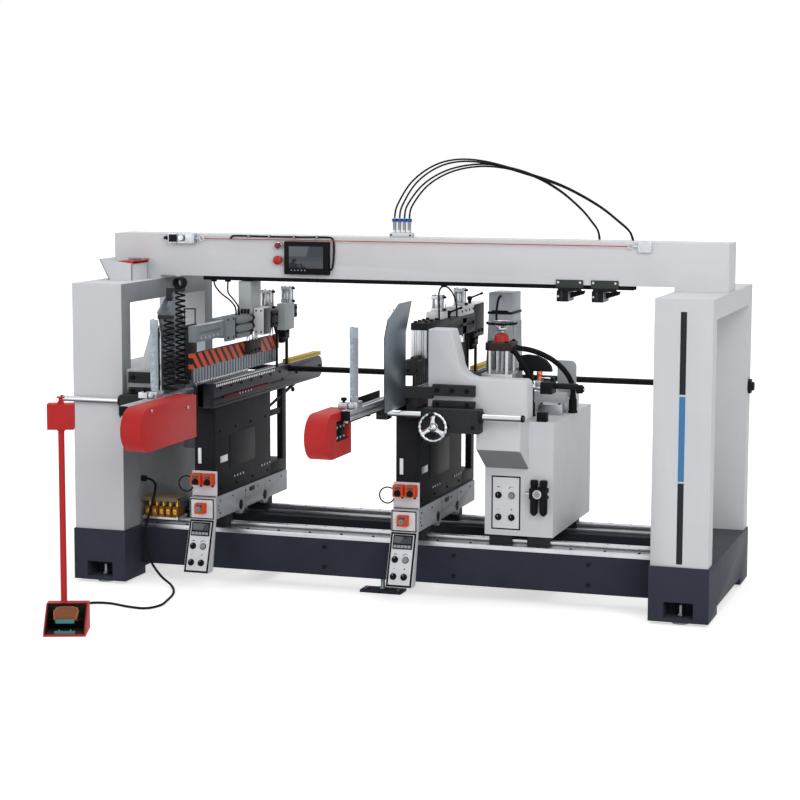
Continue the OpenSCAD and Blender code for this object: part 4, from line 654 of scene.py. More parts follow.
# Hoses between an arm and its trolley in the track: sideways from the arm's middle, then depth and height
ARM_HOSES = {"a": [[(0, 362, 1203), (-1, 363, 1222), (-12, 374, 1243), (-48, 406, 1265), (-112, 460, 1290),
                    (-158, 500, 1318), (-171, 510, 1342)],
                   [(20, 350, 1203), (19, 352, 1222), (8, 366, 1243), (-30, 408, 1268), (-82, 470, 1292),
                    (-100, 504, 1318), (-101, 510, 1342)]],
             "b": [[(30, 330, 1211), (30, 328, 1236), (26, 338, 1270), (16, 366, 1300), (4, 410, 1326),
                    (-4, 456, 1340), (-6, 503, 1348)],
                   [(26, 612, 1203), (26, 612, 1230), (24, 604, 1270), (18, 585, 1305), (8, 556, 1332),
                    (0, 533, 1344), (-1, 517, 1348)]]}
ARM_HOSE_R = 3.9
# Loop beside the upper counters: sideways from the counter's flank, then depth and height
COUNTER_LOOP = [(0, 50, 497), (-14, 50, 502), (-34, 49, 504), (-54, 48, 494), (-64, 48, 474),
                (-60, 49, 452), (-44, 52, 437), (-24, 57, 434), (-10, 65, 444), (-5, 71, 456), (0, 71, 466)]
COUNTER_LOOP_R = 3.2
OUTER_CONDUIT = [(526, 330, 1100), (546, 350, 1096), (580, 385, 1086), (620, 425, 1066), (662, 462, 1036),
                 (704, 505, 986), (728, 535, 930), (732, 545, 880), (731, 546, 840)]
INNER_CONDUIT = [(526, 280, 1096), (540, 290, 1076), (560, 308, 1036), (582, 335, 985), (590, 360, 940),
                 (588, 372, 900), (584, 375, 840)]
CONDUIT_R, CONDUIT_PITCH = 11.0, 3.2
ARM_MID, ARM_TOP, COUNTER_HALF = 34.0, 1203.0, 51.3


def lay_cord(name, body, path, radius, sides, replaces=()):
    piece = Piece(name, body)
    piece.tube(path, radius, RUBBER, sides, steps=1)
    piece.done(replaces=replaces)


def lay_air_hoses():
    """Four hoses that fan out from the manifold's fittings and come down into the beam."""
    middle, top = middle_of("air_manifold"), span("air_manifold")[1].z
    beam_top = span("top_beam")[1].z
    for i in range(FITTING_COUNT):
        route = OUTER_HOSE if i < FITTING_COUNT / 2 else INNER_HOSE
        lift = HOSE_LIFT if i % 2 == 0 else 0
        start_x = middle.x + (i - (FITTING_COUNT - 1) / 2) * FITTING_PITCH
        start_lift, end_lift = top + HOSE_SEAT - route[0][2], beam_top + HOSE_SEAT - route[-1][2]
        points = []
        for k, (x, y, z) in enumerate(route):
            s = k / (len(route) - 1)
            points.append((x + start_x * (1 - s) + lift * s, y + middle.y + i * HOSE_SPREAD * math.sqrt(s),
                           z + start_lift * (1 - s) + end_lift * s + lift * math.sin(math.pi * s)))
        lay_cord(f"air_hose_{i + 1}", "frame", smooth_route(points), HOSE_R, 12,
                 ["top_air_hoses"])


def lay_curly_hoses():
    """Two curly hoses on the left unit's cover, and the bundle of turns above them."""
    for i, (y, top, turns) in enumerate(zip(CURL_Y, CURL_TOP, CURL_TURNS)):
        path = [Vector((CURL_X + CURL_R, y - CURL_LEAD, top))]
        for k in range(turns * CURL_STEPS + 1):
            a = 2 * math.pi * k / CURL_STEPS
            path.append(Vector((CURL_X + CURL_R * math.cos(a), y + CURL_R * math.sin(a),
                                top - CURL_PITCH * k / CURL_STEPS)))
        path.append(Vector((CURL_X + CURL_R, y + CURL_LEAD, top - CURL_PITCH * turns)))
        lay_cord(f"curly_hose_{i + 1}", "frame", path, CURL_TUBE_R, 10, ["coil_hoses"])
    bundle = []
    for k in range(BUNDLE_STEPS + 1):
        a = BUNDLE_TURN * k / BUNDLE_STEPS
        bundle.append(Vector((BUNDLE_X + BUNDLE_R * math.sin(a),
                              BUNDLE_Y[0] + (BUNDLE_Y[1] - BUNDLE_Y[0]) * a / BUNDLE_TURN,
                              BUNDLE_Z - BUNDLE_R * math.cos(a))))
    lay_cord("hose_bundle", "frame", bundle, CURL_TUBE_R, 10)


def lay_conduit(name, points):
    """Ribbed conduit between the flange of the posts and the cabinet's top."""
    piece = Piece(name, "unit_c")
    route = smooth_route(points, CONDUIT_STEPS)
    piece.ribbed(route, CONDUIT_R, CONDUIT_PITCH, RUBBER)
    piece.done()


def lay_unit_hoses(unit):
    """The two hoses between an arm and its trolley, and the loop of cable beside the upper counters."""
    body, x = "unit_" + unit, middle_of(unit + "_carriage").x
    for i, route in enumerate(ARM_HOSES[unit]):
        points = [(x + ARM_MID + q[0], q[1], q[2]) for q in route]
        lay_cord(f"{unit}_arm_hose_{i + 1}", body, smooth_route(points), ARM_HOSE_R, 12)
    loop = [(x - COUNTER_HALF + q[0], q[1], q[2]) for q in COUNTER_LOOP]
    lay_cord(unit + "_counter_loop", body, smooth_route(loop), COUNTER_LOOP_R, 12)


lay_air_hoses()
lay_curly_hoses()
lay_conduit("outer_conduit", OUTER_CONDUIT)
lay_conduit("inner_conduit", INNER_CONDUIT)
lay_cord("pedal_lead", "frame", smooth_route(PEDAL_CORD), PEDAL_CORD_R, 14,
         ["pedal_cord"])


# Rigid pieces that keep the shape of their solids
BEAM_Z, FENCE_Z = 1373.0, 862.5
PULL_Y, PULL_Z = 405, 1545
BAR_Y, BAR_Z = -16, 837
RAIL_Y = (236.5, 722.5)
GLAND_Y, GLAND_Z = 190, 457
POST_X, POST_Y = (432, 508), (240, 360)
WHEEL_X, WHEEL_Y = 470, 300


def off_axis(a, b, centre_a, centre_b):
    return math.hypot(a - centre_a, b - centre_b)


def dress_frame():
    beam_top = span("top_beam")[1].z
    for node in ("left_plinth", "right_plinth"):
        dressed(node, NAVY_PAINT, bevel=3)
    dressed("left_column", LIGHT_PAINT, [
        # Painted shade: inner faces of the left column below 860 mm take the darker grey, not a colour of
        # the paint
        (PAINTED_WALL_SHADE, lambda m, n: n.x > 0.9 and m.z < 860 and m.y > 100),
        (BLACK_PLASTIC, lambda m, n: m.z < 480 and -1197.5 < m.x < -1170
         and off_axis(m.y, m.z, GLAND_Y, GLAND_Z) < 15)], bevel=3)
    dressed("right_column", LIGHT_PAINT, bevel=3)
    dressed("levelling_feet", ZINC, [(NAVY_PAINT, lambda m, n: abs(m.x) < 400 and m.z < 13)], bevel=1.2)
    dressed("top_beam", BEAM_PAINT, [
        (BLACK_PAINT, lambda m, n: abs(m.x) < 1100 and m.z < BEAM_Z - 0.5)], bevel=2.5)
    dressed("bed_beams", BED_PAINT, bevel=3)
    dressed("guide_rails", STEEL, bevel=0.8)
    dressed("control_screen", BLACK_PLASTIC, [(CHROME, lambda m, n: m.x < -590 and m.y < 415)], bevel=2)
    dressed("start_button", START_RED, bevel=1)
    dressed("emergency_stop", STOP_RED, bevel=0.5)
    dressed("pull_wire_switch", ALUMINIUM, [
        (WIRE_RED, lambda m, n: abs(m.x) < 900 and off_axis(m.y, m.z, PULL_Y, PULL_Z) < 2.2)], bevel=0.8)
    dressed("air_manifold", ALUMINIUM, [
        (BLUE_PLASTIC, lambda m, n: m.z > beam_top + 70),
        (KEY_GREY, lambda m, n: 23 < m.z - beam_top < 70)], bevel=1)
    dressed("drive_shaft", BLACK_PAINT, bevel=1.5)


def dress_fence(side):
    """Fence rail with its chrome bar."""
    dressed(side + "_fence", IRON_BLACK, [
        (ALUMINIUM, lambda m, n: m.z > FENCE_Z - 0.1),
        (CHROME, lambda m, n: off_axis(m.y, m.z, BAR_Y, BAR_Z) < 14)], bevel=0.8)


def dress_upright(side):
    """The upright that slides on a fence rail, with its foot."""
    dressed(side + "_upright", ZINC, [(ALUMINIUM, lambda m, n: m.z < 929)], bevel=0.8)


def dress_left_unit():
    dressed("left_casting", WHITE_CAST, bevel=6, segments=3)
    dressed("left_bracket", IRON_BLACK, [
        (ZINC_SHEET, lambda m, n: -934 < m.x < -902.5 and m.y < 20 and m.z > 866 and abs(n.y) < 0.9),
        (COVER_SHEET, lambda m, n: m.x > -912 and m.y > 20.5)], bevel=1.0)
    dressed("left_slide_block", DARK_ALLOY, bevel=1.5)
    dressed("left_head", BLACK_PAINT, [
        (STEEL, lambda m, n: m.x > -1044.9 and m.z > 891),
        (CHROME, lambda m, n: m.x < -1100.1 and m.z > 891),
        (GREY_MOTOR, lambda m, n: m.z < 890.9)], bevel=1)
    dress_fence("left")
    dressed("left_guard", RED_PAINT, bevel=4, segments=3)
    dress_upright("left")
    dressed("valve_bank", VALVE_OCHRE, [
        (ALUMINIUM, lambda m, n: m.z < 287.5),
        (BRASS, lambda m, n: m.z > 333.2)], bevel=1)


def dress_vertical_unit(unit):
    x = middle_of(unit + "_carriage").x
    left = unit == "a"
    dressed(unit + "_carriage", GREY_CAST, [
        (IRON_BLACK, lambda m, n: m.z < 303 and min(abs(m.y - y) for y in RAIL_Y) < 34.2)], bevel=2)
    dressed(unit + "_pedestal", BLACK_PAINT, [
        (STEEL, lambda m, n: m.z > 600 and min(off_axis(m.x, m.y, x - 14, y) for y in (107, 703)) < 10.5)],
            bevel=1.5, cut=((0, 734.8, 0), Y))
    dressed(unit + "_console", LIGHT_PAINT, [
        (ORANGE, lambda m, n: m.y < 66.9 and m.z > 466.5),
        (ORANGE, lambda m, n: m.y < 36.8 and 342.5 < m.z < 390 and abs(m.x - x) < 23.5)], bevel=2.5,
        segments=3)
    dressed(unit + "_table", DARK_ALLOY, [
        (STEEL, lambda m, n: m.x < x - 35.9 and m.z > 900),
        (YELLOW, lambda m, n: m.z > 921.2 and m.y > 980)], bevel=0.8)
    dressed(unit + "_overhead_arm", ARM_GREY if left else BLACK_PAINT, [
        (BLACK_PAINT, lambda m, n: m.y > 880.2),
        (ALUMINIUM, lambda m, n: not left and m.y < 200.5 and (m.y < 135.1 or m.z < 1117.1)),
        (None, lambda m, n: m.z > ARM_TOP + 0.5 or m.x > x + 69.1)], bevel=1.2, cut=((0, 0, 1050), -Z))
    dressed(unit + "_boring_head", ALUMINIUM, [
        (STEEL, lambda m, n: m.z > 774.1),
        (RED_PAINT, lambda m, n: m.z > 836.1),
        (DARK_ALLOY, lambda m, n: m.z < 623.9)], bevel=0.8)
    dressed(unit + "_press_beam", WARNING if left else IRON_BLACK, [
        (IRON_BLACK, lambda m, n: abs(n.z) > 0.9),
        (CHROME, lambda m, n: m.z > 1073.2),
        (SLAT_STEEL if left else IRON_BLACK, lambda m, n: m.z < 1006.8)], bevel=0.8)
    for knob, finish in (("left", BLACK_PLASTIC), ("right", BLACK_PLASTIC), ("lower", GREY_PLASTIC)):
        dressed(f"{unit}_{knob}_knob", finish, bevel=0.6)


def dress_side_unit():
    def post(m):
        return m.z > 798.2 and min(off_axis(m.x, m.y, x, y) for x in POST_X for y in POST_Y) < 9.3
    dressed("c_cabinet", LIGHT_PAINT, [
        (IRON_BLACK, lambda m, n: m.z < 298.9),
        (None, lambda m, n: m.z > 798.3 and not post(m)),
        (CHROME, lambda m, n: post(m) and m.z < 1107.9),
        (BLACK_PLASTIC, lambda m, n: m.y < 186.8)], bevel=2)
    # Painted shade: the casting's sloped underside takes the darker grey
    dressed("c_casting", WHITE_CAST, [(PAINTED_UNDERSIDE_SHADE, lambda m, n: n.z < -0.3 and m.z < 700)], bevel=7,
            segments=3)
    dressed("c_bracket", IRON_BLACK, [
        (ZINC_SHEET, lambda m, n: m.x < 146 and abs(n.y) < 0.9 and (m.x < 119.2 or m.z > 952))], bevel=1.2)
    dress_fence("c")
    dressed("c_guard", RED_PAINT, [
        (BLACK_PAINT, lambda m, n: -554 < m.y < -433 and -24 < m.x < 9.3 and 782 < m.z < 853)], bevel=3,
        segments=3)
    dress_upright("c")
    dressed("c_saddle", ALUMINIUM, bevel=1.5)
    dressed("c_head", BLACK_PAINT, [
        (STEEL, lambda m, n: m.x < 344.9 and m.z < 981),
        (CHROME, lambda m, n: m.x > 400.1 and m.z < 981),
        (GREY_MOTOR, lambda m, n: m.z > 981.1)], bevel=1.5)
    dressed("c_height_wheel", CHROME, [
        (None, lambda m, n: m.z > 1184 or off_axis(m.x, m.y, WHEEL_X, WHEEL_Y) > 30),
        (STEEL, lambda m, n: m.z < 1181)], bevel=0.5)


def make_height_wheel():
    """Rim, hub and dished spokes of the height wheel, above the screw of its solid."""
    piece = Piece("height_wheel", "c_height_wheel")
    piece.ring((WHEEL_X, WHEEL_Y, 1209), Z, 63, 6, BLACK_PLASTIC, 14)
    piece.ring((WHEEL_X, WHEEL_Y, 1212.5), Z, 60, 4, CHROME, 12, 0.8)
    piece.turned((WHEEL_X, WHEEL_Y, 1176), Z, [(0, 15), (4, 21), (13, 21), (17, 17), (21, 12), (22, 8)],
                 CHROME, 32)
    for k in range(3):
        piece.place = (Matrix.Translation((WHEEL_X, WHEEL_Y, 1186))
                       @ Matrix.Rotation(math.radians(50 + 120 * k), 4, "Z")
                       @ Matrix.Rotation(math.radians(-21), 4, "Y"))
        piece.prism([(14, -9), (40, -6), (62, -9), (62, 9), (40, 6), (14, 9)], "z", -2.5, 2.5, CHROME)
    piece.done(bevel=0.8)


def make_flange():
    """Square flange and red clutch on the posts, in place of the solid's plain ones."""
    piece = Piece("c_flange", "unit_c")
    half_x, half_y, corner = 58, 80, 24
    outline = [(WHEEL_X + sx * (half_x - corner * (k == 0)), WHEEL_Y + sy * (half_y - corner * (k == 1)))
               for sx, sy, order in ((1, -1, (0, 1)), (1, 1, (1, 0)), (-1, 1, (0, 1)), (-1, -1, (1, 0)))
               for k in order]
    piece.prism(outline, "z", 1094, 1128, FLANGE_IRON)
    piece.turned((WHEEL_X, WHEEL_Y, 1128), Z, [(0, 36), (4, 36), (5, 32), (24, 32), (30, 29), (36, 20)],
                 CLUTCH_RED, 36)
    piece.two_rows((POST_X[0], POST_Y[0], 1128), X * 76, 2, Y * 120, Z, 8, 7)
    piece.done(bevel=2.5)


dress_frame()
dress_left_unit()
for letter in "ab":
    dress_vertical_unit(letter)
    lay_unit_hoses(letter)
dress_side_unit()
make_height_wheel()
make_flange()


# Finer pieces on the frame
COLUMN_STRIPES = ((964, 1303, STRIPE_DARK), (604, 955, STRIPE_BLUE), (258.5, 596, STRIPE_DARK))
SCREEN_CABLE = [(-846, 414, 1545), (-838, 414.5, 1556), (-815, 415, 1560), (-700, 415, 1559),
                (-597, 415, 1558.5), (-480, 415, 1559.5), (-376, 415, 1560), (-352, 415, 1552),
                (-345, 415, 1525), (-346, 415, 1470), (-352, 415, 1424), (-364, 415, 1412)]
CLIP_X = (-760, -660, -540, -430)
BED_BAR_Y = (182, 777)
BED_BOLT_X = (-900, -300, 300, 900)
CLAMP_X = (679, 835)


def detail_frame():
    piece = Piece("frame_details", "frame")
    for low, high, finish in COLUMN_STRIPES:
        piece.blocks(finish, (1306.5, 1.2, low, 25, 2.2, high - low))
    piece.blocks(BLACK_PLASTIC, (-566, 390.4, 1402, 192, 3.4, 126))
    piece.blocks(DISPLAY, (-552, 389.8, 1420, 164, 1.4, 98))
    piece.row((-540, 390.6, 1410.5), X * 16, 5, -Y, 3.2, 1.2, KEY_GREY, 0.5)
    piece.tube(SCREEN_CABLE, 4.2, BLACK_PLASTIC)
    piece.blocks(KEY_GREY, *((x, 409.5, 1552.5, 9, 12, 13) for x in CLIP_X))
    piece.turned((-1081, 389, PULL_Z), -Y, [(0, 15), (6, 15), (10, 11)], STEEL)
    piece.blocks(BLACK_PAINT, (-1140, 384.5, 1528, 38, 5, 34))
    piece.two_rows((-1134, 389, 1527), X * 106, 2, Z * 36, -Y, 4, 3, STEEL)
    piece.turned((-1146, PULL_Y, PULL_Z), -X, [(0, 9), (14, 9), (16, 7), (26, 7)], BLACK_PLASTIC)
    piece.row((1052, PULL_Y, 1531), X * 36, 2, -Y, 4, 3, STEEL)
    manifold = middle_of("air_manifold")
    for i in range(FITTING_COUNT):
        x = manifold.x + (i - (FITTING_COUNT - 1) / 2) * FITTING_PITCH
        piece.turned((x, manifold.y, 1633), Z, [(0, 11.3), (3, 11.8), (10, 11.8), (13.6, 10.9)],
                     BLUE_PLASTIC)
        piece.turned((x, manifold.y, 1585), Z, [(0, 10.5), (9, 10.5), (9.5, 9.4), (14, 9.4)], STEEL, 6)
    piece.row((-86, 445, 1574), X * 90, 2, -Y, 4, 3)
    for y in BED_BAR_Y:
        piece.row((-1120, y, 256), X * 149, 16, Z, 6, 4, STRIPE_DARK)
    for y in RAIL_Y:
        piece.row((-1150, y, 277), X * 92, 26, Z, 5.5, 0.25, STRIPE_DARK, 0.5)
    for x in BED_BOLT_X:
        piece.row((x, 164, 110), Z * 90, 2, -Y, 9, 7, BLACK_PAINT)
    for x in CLAMP_X:
        piece.row((x + 11, 414, 1384), X * 98, 2, -Y, 5, 3, STEEL)
    piece.done(bevel=0.8)
    feet = Piece("foot_nuts", "frame")
    feet.row((-49, RAIL_Y[0], 12), X, 1, Z, 19, 11, ZINC, 0.5, 6)
    feet.two_rows((-124, 222, 12), X * 150, 2, Y * 29, Z, 7, 5, ZINC)
    feet.done(bevel=0.6)


def make_hopper():
    """White chute on the left column, open towards its tall side, with a red lid on the low side."""
    piece = Piece("top_hopper", "frame")
    for outline, front, back in (
            ([(-1371, 1356), (-1256, 1356), (-1256, 1433), (-1420, 1452)], 235, 239),
            ([(-1371, 1356), (-1256, 1356), (-1256, 1430), (-1404, 1430)], 396, 400),
            ([(-1371, 1356), (-1366, 1356), (-1415, 1452), (-1420, 1452)], 235, 400)):
        piece.prism(outline, "y", front, back, WHITE_CAST)
    piece.blocks(WHITE_CAST, (-1260, 235, 1356, 4, 165, 75), (-1371, 236, 1356, 114, 163, 4))
    piece.row((-1258, 262, 1416), Y * 110, 2, X, 4, 2.4, STEEL)
    piece.done(bevel=0.9, replaces=["top_box"])
    lid = Piece("hopper_lid", "box_lid")
    lid.blocks(RED_PAINT, (-1352, 240, 1434, 102, 160, 6), (-1254, 240, 1433, 4, 160, 13),
               (-1340, 252, 1439.5, 80, 136, 2))
    lid.rod((-1352, 404, 1446), (-1250, 404, 1446), 4, ZINC, 14)
    lid.blocks(ZINC, (-1340, 392, 1439, 20, 12, 7), (-1282, 392, 1439, 20, 12, 7))
    lid.done(bevel=0.9, replaces=["box_lid"])


def make_parked_clamps():
    """Two clamp brackets parked on the beam's lower edge: face plate, neck, jaw block and lever."""
    piece = Piece("parked_clamps", "frame")
    for x in CLAMP_X:
        piece.blocks(COVER_SHEET, (x, 416, 1361, 121, 5.5, 34))
        piece.blocks(BLACK_PAINT, (x + 8, 421, 1346, 104, 20, 4.5), (x + 8, 416.5, 1346, 104, 4.5, 16),
                     (x + 2, 424, 1299, 50, 114, 48))
        piece.blocks(GREY_PLASTIC, (x + 52, 428, 1302, 1.6, 106, 42))
        piece.blocks(DARK_ALLOY, (x + 20, 420, 1299, 10, 5, 48))
        piece.prism([(x + 54, 1312), (x + 112, 1330), (x + 118, 1346), (x + 54, 1338)], "y", 470, 486,
                    BLACK_PAINT)
        piece.turned((x + 96, 470, 1334), -Y, [(0, 8), (26, 8), (28, 6)], BLACK_PLASTIC, 18)
        piece.turned((x + 10, 424, 1322), -Y, [(0, 5), (4, 5), (5, 3.6)], STEEL, 14)
    piece.done(bevel=1.2, replaces=["beam_brackets"])


# Left fixed unit, and what the two horizontal heads share
COVER_HANDLE = [(-905, 26, 1178), (-905, 26, 1246), (-905, 34, 1252), (-905, 136, 1244), (-905, 142, 1238),
                (-905, 142, 1178)]
VALVE_COUNT, VALVE_X, VALVE_PITCH = 5, -1164, 34
SPINDLE_COUNT, SPINDLE_PITCH, SPINDLE_Y, SPINDLE_Z = 21, 32, 210, 936


def bar_collars(piece, right, left):
    """The two collars where a fence bar leaves its bracket."""
    piece.turned((right, BAR_Y, BAR_Z), X, [(0, 27), (12, 27), (15, 24), (16, 14)], BLACK_PAINT, 30)
    piece.turned((left, BAR_Y, BAR_Z), -X, [(0, 25), (8, 25), (10, 22), (10.5, 14)], BLACK_PAINT, 30)


def motor_ribs(piece, x, z, depth, height):
    """The cooling ribs on a motor's flank."""
    piece.blocks(GREY_MOTOR, *((x, 561 + k * 20, z, depth, 9, height) for k in range(7)))


def chuck_rows(body, nose, ahead):
    """Collars and bushes of a horizontal boring head."""
    piece = Piece(body + "_chucks", body)
    for along, radius, length, finish, socket in ((30, 11, 9, DARK_ALLOY, 0.8), (6, 10.6, 4, BRASS, 0.85)):
        piece.row((nose + ahead * along, SPINDLE_Y, SPINDLE_Z), Y * SPINDLE_PITCH, SPINDLE_COUNT, X * ahead,
                  radius, length, finish, socket)
    piece.done()


def detail_left_unit():
    piece = Piece("left_unit_details", "frame")
    piece.row((-1152, 12, 941), X * 92, 2, -Y, 10, 9)
    piece.row((-1152, 12, 882), X * 92, 2, -Y, 8.5, 8)
    piece.row((-1172, -38, 792), X * 86, 2, -Y, 8, 7)
    bar_collars(piece, -1062, -1196)
    piece.blocks(ALUMINIUM, (-912, -229, 874, 9, 5, 300))
    piece.rod((-914, -232, 905), (-914, -232, 1190), 4.5, BLACK_PAINT, 14)
    for z in (940, 1010, 1150):
        piece.turned((-914, -232, z), Z, [(0, 7), (22, 7)], BLACK_PAINT, 14)
    piece.blocks(COVER_SHEET, (-903, 18, 944, 3, 130, 236))
    piece.tube(COVER_HANDLE, 3.0, BLACK_PAINT, 10, steps=2)
    piece.two_rows((-900, 34, 962), Z * 204, 2, Y * 98, X, 5, 4)
    piece.done(bevel=0.8)
    valves = Piece("valve_details", "frame")
    for i in range(VALVE_COUNT):
        x = VALVE_X + i * VALVE_PITCH
        valves.turned((x, 204, 363), Z, [(0, 10.5), (6, 10.5), (9, 7)], BLACK_PLASTIC)
        valves.blocks(BRASS, (x - 9, 171, 300, 18, 5, 22))
        valves.turned((x, 172, 311), -Y, [(0, 5), (8, 5), (9, 3.4)], BRASS, 6)
    valves.blocks(SHELF_TAN, (-1186, 162, 371, 176, 114, 5), (-1186, 162, 360, 176, 2, 13))
    valves.two_rows((-1180, 172, 287), X * 164, 2, Y * 94, Z, 5, 4, STEEL)
    valves.done(bevel=0.8)
    motor = Piece("left_motor_details", "left_head")
    motor_ribs(motor, -1031, 640, 2.6, 200)
    motor.blocks(BLACK_PLASTIC, (-1153, 542.5, 634, 118, 165, 9))
    motor.done(bevel=0.8)
    chuck_rows("left_head", -1044.8, 1)


# Consoles, counters and the rest of a vertical unit
PANEL_W, PANEL_H, CONSOLE_FOOT = 118, 240.6, (-40, 85)
CONSOLE_SLOPE = Vector((0, 77, 228)).normalized()
COUNTER_X, COUNTER_Z = 28.32, 483
UPRIGHT_PANEL = Matrix.Rotation(math.radians(90), 4, "X")


def sloped_face(x):
    """Place of the console's panel: along X, then up its slope."""
    turn = Matrix((X, CONSOLE_SLOPE, X.cross(CONSOLE_SLOPE))).transposed().to_4x4()
    return Matrix.Translation((x - PANEL_W / 2, *CONSOLE_FOOT)) @ turn


def selector(piece, u, v, finish, handle=True):
    """A rotary selector on a panel: dark collar, round body, raised handle with a pale mark."""
    piece.turned((u, v, 2), Z, [(0, 15), (1.6, 15), (2.6, 14)], BLACK_PLASTIC, 28)
    piece.turned((u, v, 4), Z, [(0, 12.5), (5, 12.5), (6.5, 11)], finish, 28)
    if handle:
        piece.blocks(finish, (u - 3, v - 9.4, 10, 6, 18.8, 6))
        piece.blocks(PANEL_FACE, (u - 0.7, v + 2, 15.6, 1.4, 7, 0.8))


def selector_field(piece, u, v, marks):
    """Four selectors in two rows, with the signs over them: an arc that thickens, bars and a dot."""
    for k in range(9):
        a, r = math.radians(150 - k * 15), 2.0 - 0.16 * k
        piece.turned((u[1] + 13 * math.cos(a), marks[0] + 13 * math.sin(a) - 1, 1.8), Z, [(0, r), (0.5, r)],
                     BLACK_PLASTIC, 10)
    piece.blocks(BLACK_PLASTIC, (u[0] - 6, marks[0] + 8, 1.8, 12, 3.4, 0.5))
    piece.turned((u[1], marks[1] + 19, 1.8), Z, [(0, 3.2), (0.5, 3.2)], BLACK_PLASTIC, 16)
    piece.blocks(KEY_GREY, (u[0] - 4, marks[1] + 18, 1.8, 8, 2.4, 0.5))
    selector(piece, u[0], v[0], BLACK_PLASTIC)
    selector(piece, u[1], v[0], GREY_PLASTIC, False)
    for side in u:
        selector(piece, side, v[1], BLACK_PLASTIC)


def panel_face(piece, width, height, border):
    """A pale face with a dark border and a screw in each corner."""
    inset = border + 5
    piece.blocks(BLACK_PLASTIC, (2, 2, 0, width - 4, height - 4, 1.2))
    piece.blocks(PANEL_FACE, (border, border, 0.6, width - 2 * border, height - 2 * border, 1.4))
    piece.two_rows((inset, inset, 1.9), Y * (height - 2 * inset), 2, X * (width - 2 * inset),
                   Z, 2.6, 1.2, STEEL)


def detail_console(unit, x):
    body = "unit_" + unit
    panel = Piece(unit + "_panel", body, sloped_face(x))
    panel_face(panel, PANEL_W, PANEL_H, 10.5)
    panel.blocks(BLACK_PLASTIC, (15, 166, 1.4, 88, 62, 3.4))
    panel.blocks(DISPLAY, (20, 190, 4, 78, 32, 1.6))
    panel.blocks(KEY_GREY, *((20 + k * 16, 171, 4.2, 13, 12, 2.2) for k in range(5)))
    selector_field(panel, (31, 79), (120, 46), (134, 62))
    panel.done(bevel=0.5)
    upper = Piece(unit + "_counter_plate", body,
                  Matrix.Translation((x - PANEL_W / 2, 37, 313)) @ UPRIGHT_PANEL)
    panel_face(upper, PANEL_W, 96, 7.5)
    upper.done(bevel=0.5)
    piece = Piece(unit + "_counter_details", body)
    for cx in (x - COUNTER_X, x + COUNTER_X):
        piece.blocks(DISPLAY, (cx - 15, 27.6, 499, 30, 2.6, 12))
        piece.turned((cx, 29.2, COUNTER_Z), -Y, [(0, 15), (1, 15), (1.6, 14)], BLACK_PLASTIC, 28)
        piece.turned((cx + 12, 62, 467), -Z, [(0, 5), (9, 5), (11, 3)], BLACK_PLASTIC, 16)
    piece.blocks(DISPLAY, (x - 14, 1.6, 375, 28, 2.4, 10))
    piece.blocks(BLACK_PLASTIC, (x - 56, 64, 412, 112, 3.6, 3))
    piece.row((x - 50, 67, 418), X * 100, 2, -Y, 3.5, 2.4, STEEL)
    piece.done(bevel=0.6)
    for knob, kx, ky, kz, finish, slot in (
            ("left", x - COUNTER_X, 10.6, COUNTER_Z, RUBBER, "knob_black"),
            ("right", x + COUNTER_X, 10.6, COUNTER_Z, RUBBER, "knob_black"),
            ("lower", x, -15.4, 366, GREY_PLASTIC, "knob_grey")):
        cap = Piece(f"{unit}_{knob}_knob_cap", f"{unit}_{knob}_knob")
        cap.turned((kx, ky, kz), -Y, [(0, 8.4), (1, 8.4), (1.8, 7)], finish)
        cap.turned((kx, ky - 1.6, kz), -Y, [(0, 3), (0.8, 3)], BLACK_PLASTIC, 16)
        cap.done()


def detail_pedestal(unit, x):
    piece = Piece(unit + "_pedestal_details", "unit_" + unit)
    side, flank = x + 50, x + 59
    for y in (290, 620):
        piece.row((side, y, 474), Y * 34, 4, X, 5, 3, ALUMINIUM)
    piece.row((side, 130, 700), Y * 180, 4, X, 6, 4)
    piece.row((side, 130, 440), Y * 190, 4, X, 6, 4)
    piece.two_rows((x - 38, 72.8, 556), X * 76, 2, Z * 228, -Y, 4, 3)
    piece.row((flank, 100, 390), Y * 150, 6, X, 4.5, 2.6, DARK_ALLOY)
    piece.row((flank, 100, 335), Y * 520, 2, X, 4.5, 2.6, DARK_ALLOY)
    piece.row((flank, 84, 352), Z * 18, 2, X, 3.4, 2)
    piece.blocks(ALUMINIUM, (side, 128, 556, 1.6, 84, 30), (x - 30, 66, 560, 16, 8, 70))
    piece.blocks(STRIPE_DARK, *((flank - 0.6, y, 318, 1.1, 2, 86) for y in (400, 640)))
    piece.blocks(BLACK_PLASTIC, (flank - 0.6, 448, 379, 1.6, 66, 20))
    for y in (347, 641):
        piece.turned((flank - 0.8, y, 334), X, [(0, 23), (1.4, 23)], LINING, 36)
    piece.blocks(BLACK_PAINT, (side, 240, 520, 2, 300, 150), (x - 46, 72.8, 545, 92, 2.4, 250),
                 (x - 50, 733.4, 409, 100, 4, 404), (x - 50, 736, 409, 100, 206, 60),
                 (x + 22, 892, 466, 28, 50, 347), (x + 28, 736, 690, 16, 158, 26))
    piece.prism([(746, 742), (752, 736), (1080, 806), (1080, 813), (1060, 813)], "x", x + 34, x + 46,
                BLACK_PAINT)
    piece.turned((side, 1020, 790), X, [(0, 11), (10, 11), (12, 8)], BLACK_PLASTIC, 18)
    piece.done(bevel=0.6)


